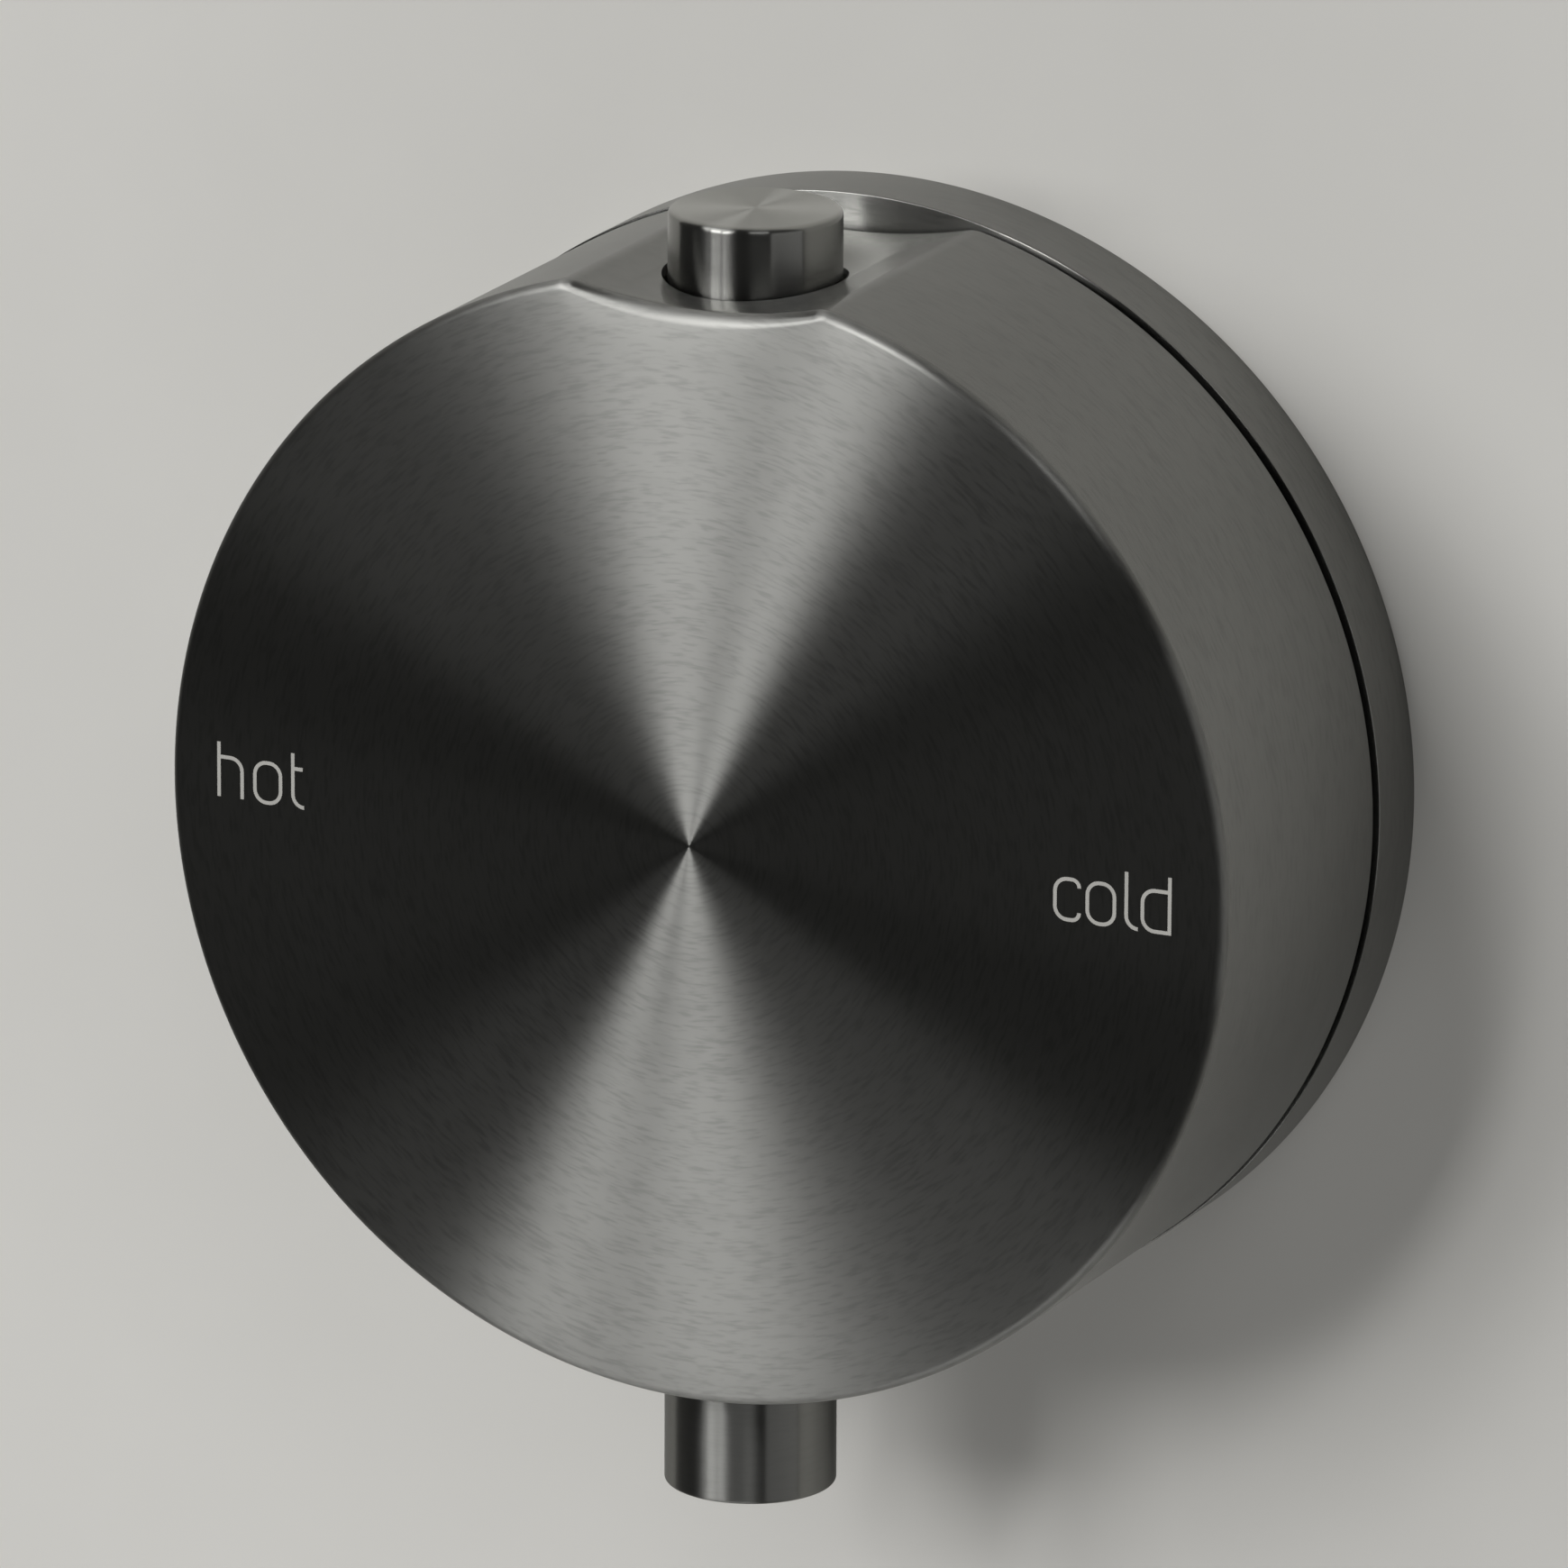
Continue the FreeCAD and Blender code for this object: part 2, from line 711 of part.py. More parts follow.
def wedge_side(shift, front):
    """Half space on one side of the 45 degree plane through the axes' crossing."""
    reach = 4 * stem_radius
    cutter = Part.makeBox(2 * reach, 2 * reach, reach, Vector(-reach, -reach, 0))
    way = Vector(0, -1, 1) if front else Vector(0, 1, -1)
    cutter.Placement = FreeCAD.Placement(Vector(0, axis_y + shift, 0), FreeCAD.Rotation(Vector(0, 0, 1), way))
    return cutter


def button_stem():
    """Steel stem from the cap to the dial's axis, cut at 45 degrees."""
    shape = along_z(stem_radius, -stem_radius, cap_ceiling + stem_grip)
    shape = shape.cut(wedge_side(0, front=False))
    low, high = bush_bottom - clip_thickness, bush_bottom
    return shape.cut(upright_ring(stem_radius + beyond, stem_radius - clip_bite, low, high))


def stem_clip():
    """Open clip in the stem's groove. It stops the button's return under the bush."""
    low, high = bush_bottom - clip_thickness + fitted, bush_bottom - fitted
    shape = upright_ring(clip_radius, stem_radius - clip_bite + fitted, low, high)
    return shape.cut(block((-clip_mouth, clip_mouth), (axis_y, axis_y + clip_radius), (low, high)))


def button_cap():
    """Round cap, hollow below for its spring."""
    shape = along_z(button_radius, cap_bottom, button_top)
    shape = shape.makeFillet(button_edge_round, edges_where(shape, lambda p: near(p.z, button_top)))
    low = cap_bottom - beyond
    shape = shape.cut(upright_ring(button_radius - cap_wall, stem_radius + cap_wall, low, cap_ceiling))
    return shape.cut(along_z(stem_radius + fitted, low, cap_ceiling + stem_grip))


def button_bush():
    """Guide cup in the dial's boss."""
    shape = along_z(bush_radius, bush_bottom, bush_top)
    shape = shape.cut(along_z(button_radius + running, bush_floor_top, bush_top + beyond))
    shape = shape.cut(along_z(stem_radius + running, bush_bottom - beyond, bush_floor_top + beyond))
    return shape.cut(along_z(button_radius + wiper_depth, wiper_low, wiper_high))


def button_seal():
    """Wiper ring round the cap."""
    middle = button_radius + wiper_depth - wiper_cord - fitted
    return Part.makeTorus(middle, wiper_cord, Vector(0, axis_y, (wiper_low + wiper_high) / 2))


def bush_circlip():
    """Open ring that holds the bush in the boss."""
    low, high = circlip_bottom + fitted, bush_bottom - fitted
    outer = bush_radius + circlip_bite - fitted
    shape = upright_ring(outer, bush_radius - circlip_inside, low, high)
    return shape.cut(block((-circlip_mouth, circlip_mouth), (axis_y, axis_y + outer), (low, high)))


def button_spring():
    """Returns the button."""
    middle = (stem_radius + cap_wall + button_radius - cap_wall) / 2
    start = Vector(0, axis_y, bush_floor_top)
    way = Vector(0, 0, cap_ceiling - bush_floor_top)
    return coil_spring(middle, button_wire, button_coils, start, way, Vector(1, 0, 0))


def wall_flange():
    """Cup against the wall with the spigot that the dial turns on."""
    shape = along_y(flange_radius, flange_front, 0)
    shape = shape.makeChamfer(flange_edge, edges_where(shape, lambda p: near(p.y, flange_front)))
    shape = shape.cut(along_y(flange_cavity, flange_back, beyond))
    shape = shape.fuse(ring(glide_inner, spigot_inner, flange_front - spigot_length, flange_back))
    shape = shape.cut(along_y(body_hole, flange_front - beyond, beyond)).removeSplitter()
    shape = shape.cut(gasket_ring(beyond))
    for spot in post_places:
        shape = shape.cut(along_y(screw_radius + running, flange_front, flange_back, spot.x, spot.z))
        shape = shape.cut(countersink(flange_front, spot.x, spot.z))
    return shape


def gasket_ring(end):
    """Ring in the flange's rim, from its groove's floor to a place along Y."""
    return ring(gasket_middle + gasket_width / 2, gasket_middle - gasket_width / 2, -gasket_depth, end)


def flange_gasket():
    """Rubber ring against the wall."""
    return gasket_ring(0)


def glide_ring():
    """Plastic ring on the spigot, which runs in the dial's bore."""
    shape = ring(glide_outer, glide_inner, flange_front - spigot_length, flange_front)
    outside = edges_where(shape, lambda p: near(p.y, flange_front - spigot_length)
                          and near(math.hypot(p.x, p.z), glide_outer))
    return shape.makeChamfer(glide_lead, outside)


def wall_plate():
    """Round plate on the wall, with countersunk holes, posts for the flange and threads for the body."""
    shape = ring(plate_radius, body_hole, plate_front, 0)
    for spot in post_places:
        shape = shape.fuse(along_y(post_radius, flange_back, 0, spot.x, spot.z))
    shape = shape.removeSplitter()
    for spot in post_places + collar_screw_places:
        shape = shape.cut(along_y(screw_radius + fitted, flange_back - beyond, beyond, spot.x, spot.z))
    depth = wall_hole_sink
    for spot in circle_of(wall_hole_circle, wall_hole_count, 45):
        shape = shape.cut(along_y(wall_hole_radius, plate_front - beyond, beyond, spot.x, spot.z))
        mouth = Vector(spot.x, plate_front, spot.z)
        sink = Part.makeCone(wall_hole_radius + depth, wall_hole_radius, depth, mouth, Vector(0, 1, 0))
        shape = shape.cut(sink)
    return shape


def flange_screws():
    """Three screws through the flange into the posts, hidden behind the dial."""
    length = -flange_front - screw_setback
    return group([countersunk_screw(flange_front, length, spot.x, spot.z) for spot in post_places])


def body_screws():
    """Three screws through the body's collar into the plate."""
    length = -collar_front - screw_setback
    return group([countersunk_screw(collar_front, length, spot.x, spot.z) for spot in collar_screw_places])


def valve_body():
    """Brass body: chamber in front, well for the poppet, supply sockets behind, passage to the arm."""
    shape = along_y(body_radius, body_front, body_tail)
    shape = shape.fuse(along_y(collar_radius, collar_front, plate_front)).removeSplitter()
    shape = shape.makeChamfer(tail_chamfer, edges_where(shape, lambda p: near(p.y, body_tail)))
    shape = shape.cut(along_y(chamber_radius, body_front - beyond, chamber_floor))
    shape = shape.cut(along_y(well_radius, chamber_floor - beyond, well_floor))
    for x in (-inlet_offset, inlet_offset):
        shape = shape.cut(along_y(passage_radius, chamber_floor - beyond, body_tail, x))
        shape = shape.cut(along_y(nipple_radius + fitted, body_tail - nipple_seat, body_tail + beyond, x))
    shape = shape.cut(along_z(passage_radius, -body_radius - beyond, 0, 0, outlet_turn_y))
    shape = shape.cut(along_y(passage_radius, body_front - beyond, outlet_turn_y, 0, passage_z))
    for spot in arm_screw_places:
        end = body_front + arm_screw_grip + screw_setback
        shape = shape.cut(along_y(socket_radius, body_front - beyond, end, spot.x, spot.z))
    for spot in collar_screw_places:
        shape = shape.cut(along_y(screw_radius + running, collar_front, plate_front, spot.x, spot.z))
        shape = shape.cut(countersink(collar_front, spot.x, spot.z))
    return shape


def waterway_plug():
    """Closes the outer end of the drilled passage."""
    top = passage_z - passage_radius - free
    bottom = -math.sqrt(body_radius ** 2 - passage_radius ** 2)
    return along_z(passage_radius - fitted, bottom, top, 0, outlet_turn_y)


def inlet_nipple(x):
    """Supply nipple with two seal grooves and a hexagonal collar."""
    seat = body_tail - nipple_seat
    end = body_tail + nipple_collar + nipple_reach
    shape = along_y(nipple_radius, seat, end, x)
    shape = shape.fuse(prism(6, nipple_flats / 2, body_tail, body_tail + nipple_collar, x))
    shape = shape.makeChamfer(nipple_chamfer, edges_where(shape, lambda p: near(p.y, end)))
    shape = shape.cut(along_y(nipple_bore, seat - beyond, end + beyond, x))
    for y in nipple_seal_places:
        shape = shape.cut(groove(nipple_radius, nipple_seal, y, x))
    return shape


def inlet_o_rings():
    """Two seals on each nipple."""
    return group([o_ring(nipple_radius, nipple_seal, fitted, y, x)
                  for x in (-inlet_offset, inlet_offset) for y in nipple_seal_places])


def inlet_filters():
    """Sieve cups in the nipples' inner ends."""
    start = body_tail - nipple_seat + filter_setback
    end = start + filter_length
    cups = []
    for x in (-inlet_offset, inlet_offset):
        cup = along_y(nipple_bore - fitted, start, end, x)
        cup = cup.cut(along_y(nipple_bore - filter_wall, start + filter_wall, end + beyond, x))
        for hole in [Vector()] + circle_of(filter_circle, 6, 0):
            cup = cup.cut(along_y(filter_hole, start - beyond, start + beyond, x + hole.x, hole.z))
        cups.append(cup)
    return group(cups)


def outlet_arm():
    """Brass arm: pad on the body, bar under the hub and column down to the outlet's thread."""
    inner = chamber_radius + free
    pad = sector(inner, body_radius - free, body_front - arm_pad, body_front, -90, arm_pad_half_angle)
    half = arm_bar_half_width
    bar_top = passage_z + passage_radius + passage_wall
    bar_bottom = passage_z - passage_radius - passage_wall
    bar_front = axis_y - passage_radius - passage_wall / 2
    bar = block((-half, half), (bar_front, body_front), (bar_bottom, bar_top))
    lower_edges = edges_where(bar, lambda p: near(abs(p.x), half) and near(p.z, bar_bottom))
    bar = bar.makeFillet(arm_bar_round, lower_edges)
    shape = pad.fuse(bar).fuse(along_z(column_radius, arm_bottom, column_top)).removeSplitter()
    shape = shape.cut(along_y(passage_radius, axis_y, body_front + beyond, 0, passage_z))
    shape = shape.cut(along_z(outlet_bore, arm_bottom - beyond, passage_z))
    shape = shape.cut(along_z(thread_radius + fitted, arm_bottom - beyond, thread_top + beyond))
    seal_floor = body_front - face_seal_width
    shape = shape.cut(ring(face_seal_outer, face_seal_inner, seal_floor, body_front + beyond, 0, passage_z))
    for spot in arm_screw_places:
        start, end = body_front - arm_pad - beyond, body_front + beyond
        shape = shape.cut(along_y(socket_radius + fitted, start, end, spot.x, spot.z))
    return shape


def arm_screws():
    """Two socket screws through the arm's pad into the body."""
    seat = body_front - arm_pad
    top = seat - socket_head_height
    screws = []
    for spot in arm_screw_places:
        shank = along_y(socket_radius, seat, body_front + arm_screw_grip, spot.x, spot.z)
        head = along_y(socket_head_radius, top, seat, spot.x, spot.z)
        key = prism(6, socket_key / 2, top - beyond, top + socket_head_height / 2, spot.x, spot.z)
        screws.append(shank.fuse(head).cut(key))
    return group(screws)


def arm_o_ring():
    """Seal between the body's passage and the arm's."""
    return face_seal(body_front - face_seal_width / 2, 0, passage_z)


def outlet_tube():
    """Outlet: tube that fits up to the drum, neck through the slot and thread into the arm."""
    shape = along_z(outlet_radius, outlet_bottom, 0)
    shape = shape.makeFillet(outlet_edge_round, edges_where(shape, lambda p: near(p.z, outlet_bottom)))
    shape = shape.cut(along_y(dial_radius + free, dial_front - beyond, 0))
    shape = shape.fuse(along_z(neck_radius, outlet_bottom + aerator_depth + beyond, -shield_outer))
    shape = shape.fuse(along_z(thread_radius, -shield_outer - beyond, thread_top)).removeSplitter()
    shape = shape.cut(along_z(outlet_bore, outlet_bottom - beyond, thread_top + beyond))
    shape = shape.cut(along_z(aerator_radius, outlet_bottom - beyond, outlet_bottom + aerator_depth))
    half = (outlet_seal + seal_slack) / 2
    low, high = outlet_seal_place - half, outlet_seal_place + half
    return shape.cut(upright_ring(thread_radius + beyond, thread_radius - outlet_seal, low, high))


def outlet_o_ring():
    """Seal at the top of the outlet's thread."""
    cord = outlet_seal / 2 - fitted
    return Part.makeTorus(thread_radius - outlet_seal / 2, cord, Vector(0, axis_y, outlet_seal_place))


def slot_shield():
    """Curved steel strip inside the drum, clamped between the outlet's neck and the arm."""
    half = slot_half_width + shield_overlap
    shape = sector(shield_inner, shield_outer, axis_y - half, axis_y + half, -90, shield_half_angle)
    return shape.cut(along_z(thread_radius + fitted, -shield_outer - beyond, -shield_inner + beyond))


def aerator_housing():
    """Ring in the outlet's mouth, with four key notches and a ledge for the grid."""
    low, high = outlet_bottom + aerator_recess, outlet_bottom + aerator_depth - washer_thickness
    outer = aerator_radius - fitted
    inner = outer - aerator_wall
    shape = upright_ring(outer, inner, low, high)
    ledge = upright_ring(outer, inner - aerator_ledge, grid_top, grid_top + aerator_ledge_thickness)
    shape = shape.fuse(ledge).removeSplitter()
    for spot in circle_of(outer, 4, 45):
        shape = shape.cut(along_z(notch_radius, low - beyond, low + notch_depth, spot.x, axis_y + spot.z))
    return shape


def aerator_screen():
    """Round grid with its holes in rings of six."""
    radius = aerator_radius - aerator_wall - 2 * fitted
    shape = along_z(radius, grid_bottom, grid_top)
    spots = [Vector()]
    for level in range(1, grid_rings + 1):
        spots += circle_of(level * grid_pitch, 6 * level, 0)
    low, high = grid_bottom - beyond, grid_top + beyond
    return shape.cut(group([along_z(grid_hole_radius, low, high, spot.x, axis_y + spot.z) for spot in spots]))


def aerator_gasket():
    """Flat washer above the aerator."""
    top = outlet_bottom + aerator_depth
    outer = aerator_radius - running
    return upright_ring(outer, outer - washer_width, top - washer_thickness, top)


NODES = {
    "wall_plate": wall_plate,
    "wall_flange": wall_flange,
    "flange_gasket": flange_gasket,
    "flange_screws": flange_screws,
    "glide_ring": glide_ring,
    "valve_body": valve_body,
    "body_screws": body_screws,
    "waterway_plug": waterway_plug,
    "hot_inlet_nipple": lambda: inlet_nipple(-inlet_offset),
    "cold_inlet_nipple": lambda: inlet_nipple(inlet_offset),
    "inlet_o_rings": inlet_o_rings,
    "inlet_filters": inlet_filters,
    "cartridge_base": cartridge_base,
    "cartridge_seals": cartridge_seals,
    "cartridge_housing": cartridge_housing,
    "cartridge_o_ring": cartridge_o_ring,
    "cartridge_nut": cartridge_nut,
    "fixed_disc": fixed_disc,
    "moving_disc": moving_disc,
    "disc_carrier": disc_carrier,
    "spindle": spindle,
    "spindle_o_rings": spindle_o_rings,
    "temperature_stop": temperature_stop,
    "dial_shell": dial_shell,
    "dial_hub": dial_hub,
    "hub_screws": hub_screws,
    "hub_grub_screw": hub_grub_screw,
    "button_cap": button_cap,
    "button_stem": button_stem,
    "button_bush": button_bush,
    "button_seal": button_seal,
    "button_spring": button_spring,
    "bush_circlip": bush_circlip,
    "stem_clip": stem_clip,
    "push_pin": push_pin,
    "pin_o_ring": pin_o_ring,
    "poppet": poppet,
    "poppet_seal": poppet_seal,
    "valve_spring": valve_spring,
    "outlet_arm": outlet_arm,
    "arm_screws": arm_screws,
    "arm_o_ring": arm_o_ring,
    "outlet_tube": outlet_tube,
    "outlet_o_ring": outlet_o_ring,
    "slot_shield": slot_shield,
    "aerator_housing": aerator_housing,
    "aerator_screen": aerator_screen,
    "aerator_gasket": aerator_gasket,
}

os.makedirs("parts", exist_ok=True)
for name, build in NODES.items():
    shape = build()
    shape.exportStep("parts/" + name + ".step")
    print(name, "solids", len(shape.Solids), "volume", round(shape.Volume, 1), "valid", shape.isValid())
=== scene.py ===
import json
import math

import bmesh
import bpy
from bpy.props import FloatProperty, FloatVectorProperty, IntProperty, PointerProperty
from mathutils import Matrix, Vector


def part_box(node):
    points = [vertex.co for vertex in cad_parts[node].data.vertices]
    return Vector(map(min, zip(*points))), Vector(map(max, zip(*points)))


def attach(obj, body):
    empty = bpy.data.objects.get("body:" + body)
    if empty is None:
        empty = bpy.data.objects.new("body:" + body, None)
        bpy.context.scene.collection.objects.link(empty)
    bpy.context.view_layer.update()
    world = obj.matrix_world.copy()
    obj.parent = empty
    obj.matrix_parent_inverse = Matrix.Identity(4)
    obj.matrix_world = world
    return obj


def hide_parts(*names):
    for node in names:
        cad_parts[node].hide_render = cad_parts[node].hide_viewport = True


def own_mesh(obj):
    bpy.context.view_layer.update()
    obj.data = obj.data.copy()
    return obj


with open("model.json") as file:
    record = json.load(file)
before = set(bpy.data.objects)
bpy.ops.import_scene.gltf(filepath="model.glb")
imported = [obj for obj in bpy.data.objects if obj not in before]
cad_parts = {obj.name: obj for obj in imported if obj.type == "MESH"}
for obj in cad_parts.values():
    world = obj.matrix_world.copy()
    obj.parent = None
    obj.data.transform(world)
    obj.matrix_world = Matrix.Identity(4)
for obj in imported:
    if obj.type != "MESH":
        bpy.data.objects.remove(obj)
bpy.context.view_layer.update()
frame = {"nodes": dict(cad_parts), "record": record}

bl_info = {
    "name": "Round wall mixer",
    "version": (1, 0, 0),
    "blender": (4, 5, 0),
    "location": "View3D > Sidebar > Mixer",
    "description": "Dresses a round wall mixer: turned steel dial, push button, outlet, flange and inner parts",
    "category": "Object",
}

# All lengths are in metres. The wall is the plane y = 0, the front faces -Y and up is +Z.
MM = 0.001
WALL_AXIS = Vector((0, 1, 0))
UP = Vector((0, 0, 1))
DIAL_LOW, DIAL_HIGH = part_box("dial_shell")
FLANGE_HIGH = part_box("wall_flange")[1]
GLIDE_LOW, GLIDE_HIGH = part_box("glide_ring")
BUTTON_LOW, BUTTON_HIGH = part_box("button_cap")
BUSH_LOW, BUSH_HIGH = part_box("button_bush")
OUTLET_LOW, OUTLET_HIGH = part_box("outlet_tube")
SHIELD_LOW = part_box("slot_shield")[0]
GRUB_LOW, GRUB_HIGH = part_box("hub_grub_screw")
BUTTON_SPRING_LOW, BUTTON_SPRING_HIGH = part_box("button_spring")
VALVE_SPRING_LOW, VALVE_SPRING_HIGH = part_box("valve_spring")
SPOUT_AXIS = Vector((0, (BUTTON_LOW.y + BUTTON_HIGH.y) / 2, 0))

# How finely rounded forms are made
ROUND_STEPS = 8
FRONT_STEPS = 10
CORNER_STEPS = 14
SCOOP_STEPS = 110
FACE_RINGS = 16
SLOT_END_STEPS = 16
SLOT_STEPS = 60
BEND_STEPS = 7
COIL_STEPS = 48
WIRE_SIDES = 12
BOSS_SEGMENTS = 96
NECK_SEGMENTS = 128
WELL_SEGMENTS = 256
WALL_SEGMENTS = 256
HOLLOW_SEGMENTS = 720
SUPPORT = 0.1 * MM  # from a rounding to the loop that keeps the face beside it flat
TOUCHING = 0.02 * MM

# Ranges of the values in the materials
SHARE = (0.0, 1.0)
EVEN_NOISE = (0.3, 0.7)
LINE_NOISE = (0.32, 0.53)
WORN_NOISE = (0.35, 0.7)
FACE_SPAN = (15 * MM, 60 * MM)
ACROSS_MARKS = 0.25  # share of a full turn, which draws reflections out across the turning marks


# Sizes and colours

class DialSizes(bpy.types.PropertyGroup):
    """Sizes of the drum that is turned."""
    radius: FloatProperty(
        name="Radius", description="Outer radius of the drum", default=DIAL_HIGH.x, unit="LENGTH")
    wall: FloatProperty(
        name="Wall", description="Thickness of the drum's wall", default=5.5 * MM, unit="LENGTH")
    face: FloatProperty(
        name="Face", description="Thickness of the front plate", default=5.0 * MM, unit="LENGTH")
    dome: FloatProperty(
        name="Dome", description="Height of the face's middle over its edge", default=0.25 * MM, unit="LENGTH")
    front_round: FloatProperty(
        name="Front edge", description="Rounding of the front edge", default=1.0 * MM, unit="LENGTH")
    scoop_round: FloatProperty(
        name="Scoop's edge", description="Rounding of the front edge in the scoop", default=1.6 * MM, unit="LENGTH")
    rear_round: FloatProperty(
        name="Rear edge", description="Rounding of the rear edge", default=0.4 * MM, unit="LENGTH")
    scoop_depth: FloatProperty(
        name="Scoop depth", description="Depth of the scoop in the top", default=3.45 * MM, unit="LENGTH")
    scoop_radius: FloatProperty(
        name="Scoop radius", description="Radius of the scoop's hollow", default=60 * MM, unit="LENGTH")
    scoop_corner: FloatProperty(
        name="Scoop corner", description="Rounding between scoop and drum", default=4.0 * MM, unit="LENGTH")
    button_gap: FloatProperty(
        name="Button gap", description="Gap round the button", default=0.62 * MM, unit="LENGTH")
    slot_half_width: FloatProperty(
        name="Slot half width", description="Half the width of the outlet's slot", default=6.3 * MM, unit="LENGTH")
    slot_half_angle: FloatProperty(
        name="Slot half angle", description="Half the angle that the slot covers", default=math.radians(30.3),
        subtype="ANGLE")
    key_radius: FloatProperty(
        name="Key hole", description="Radius of the hole for the hub's key", default=1.7 * MM, unit="LENGTH")
    key_angle: FloatProperty(
        name="Key angle", description="Place of the key hole, from the right upwards", default=math.radians(225),
        subtype="ANGLE")
    broken_edge: FloatProperty(
        name="Broken edge", description="Bevel where holes leave the surface", default=0.12 * MM, unit="LENGTH")
    segments: IntProperty(name="Segments", description="Facets round the drum", default=640, min=64)


class FixedSizes(bpy.types.PropertyGroup):
    """Sizes of the flange, the button and the outlet."""
    flange_depth: FloatProperty(
        name="Flange depth", description="How far the flange stands off the wall", default=-GLIDE_HIGH.y,
        unit="LENGTH")
    flange_skin: FloatProperty(
        name="Flange skin", description="Thickness of the flange's front", default=3 * MM, unit="LENGTH")
    flange_rim: FloatProperty(
        name="Flange rim", description="Thickness of the flange's rim", default=3.2 * MM, unit="LENGTH")
    flange_edge: FloatProperty(
        name="Flange edge", description="Rounding of the flange's front edge", default=0.12 * MM, unit="LENGTH")
    flange_hole: FloatProperty(
        name="Flange hole", description="Radius of the hole for the valve body", default=27.8 * MM, unit="LENGTH")
    spigot_wall: FloatProperty(
        name="Spigot wall", description="Thickness of the ring that carries the glide", default=1.8 * MM,
        unit="LENGTH")
    glide_wall: FloatProperty(
        name="Glide ring", description="Thickness of the glide ring", default=3.05 * MM, unit="LENGTH")
    gasket_width: FloatProperty(
        name="Gasket width", description="Width of the gasket's groove", default=1.6 * MM, unit="LENGTH")
    gasket_depth: FloatProperty(
        name="Gasket depth", description="Depth of the gasket's groove", default=1.5 * MM, unit="LENGTH")
    button_edge: FloatProperty(
        name="Button edge", description="Rounding of the button's top edge", default=0.7 * MM, unit="LENGTH")
    button_crown: FloatProperty(
        name="Button crown", description="Solid depth of the button's top", default=7 * MM, unit="LENGTH")
    button_wall: FloatProperty(
        name="Button wall", description="Thickness of the button's skirt", default=1 * MM, unit="LENGTH")
    stem_radius: FloatProperty(
        name="Stem", description="Radius of the button's stem", default=4 * MM, unit="LENGTH")
    outlet_edge: FloatProperty(
        name="Outlet edge", description="Rounding of the outlet's lower edge", default=0.35 * MM, unit="LENGTH")
    outlet_gap: FloatProperty(
        name="Outlet gap", description="Gap between outlet and drum", default=0.3 * MM, unit="LENGTH")
    outlet_bore: FloatProperty(
        name="Outlet bore", description="Radius of the waterway", default=3.6 * MM, unit="LENGTH")
    neck_radius: FloatProperty(
        name="Neck", description="Radius of the outlet's neck in the slot", default=6 * MM, unit="LENGTH")
    thread_radius: FloatProperty(
        name="Thread", description="Radius of the outlet's thread", default=5 * MM, unit="LENGTH")
    mouth_radius: FloatProperty(
        name="Mouth", description="Radius of the aerator's seat", default=7.6 * MM, unit="LENGTH")
    mouth_depth: FloatProperty(
        name="Mouth depth", description="Depth of the aerator's seat", default=10 * MM, unit="LENGTH")
    segments: IntProperty(name="Segments", description="Facets round a small turned piece", default=256, min=32)


class SpringSizes(bpy.types.PropertyGroup):
    """Sizes of the two coil springs."""
    button_wire: FloatProperty(
        name="Button wire", description="Radius of the button spring's wire", default=0.45 * MM, unit="LENGTH")
    button_turns: IntProperty(name="Button turns", description="Turns of the button spring", default=6, min=1)
    valve_wire: FloatProperty(
        name="Valve wire", description="Radius of the valve spring's wire", default=0.3 * MM, unit="LENGTH")
    valve_turns: IntProperty(name="Valve turns", description="Turns of the valve spring", default=5, min=1)
    travel: FloatProperty(
        name="Travel", description="How far the button and the valve move", default=4 * MM, unit="LENGTH")


class WordSizes(bpy.types.PropertyGroup):
    """Sizes of the two small function words on the face."""
    stroke: FloatProperty(
        name="Stroke", description="Width of a letter's stroke", default=0.4 * MM, unit="LENGTH")
    height: FloatProperty(
        name="Height", description="Height of a small letter", default=4.3 * MM, unit="LENGTH")
    tall: FloatProperty(
        name="Tall height", description="Height of a tall letter", default=5.9 * MM, unit="LENGTH")
    bend: FloatProperty(
        name="Bend", description="Radius of a letter's bends", default=1.35 * MM, unit="LENGTH")
    relief: FloatProperty(
        name="Relief", description="How far the paint stands off the face", default=0.02 * MM, unit="LENGTH")


class Finish(bpy.types.PropertyGroup):
    """Colours and finishes."""
    steel: FloatVectorProperty(
        name="Steel", description="Colour of the turned steel", subtype="COLOR", default=(0.215, 0.215, 0.204))
    steel_shade: FloatVectorProperty(
        name="Steel in its marks", description="Colour inside the turning marks", subtype="COLOR",
        default=(0.182, 0.182, 0.173))
    steel_roughness: FloatProperty(
        name="Steel roughness", description="Across the face's turning marks", default=0.31, min=0, max=1)
    fine_roughness: FloatProperty(
        name="Fine steel roughness", description="Of the drum's side, scoop and flange", default=0.19, min=0, max=1)
    brass: FloatVectorProperty(
        name="Brass", description="Colour of the machined brass", subtype="COLOR", default=(0.56, 0.42, 0.20))
    letters: FloatVectorProperty(
        name="Letters", description="Colour of the words", subtype="COLOR", default=(0.48, 0.47, 0.44))
    wall: FloatVectorProperty(
        name="Wall", description="Colour of the wall", subtype="COLOR", default=(0.722, 0.711, 0.677))
    surroundings: FloatVectorProperty(
        name="Surroundings", description="Colour of the dark room", subtype="COLOR", default=(0.052, 0.052, 0.051))


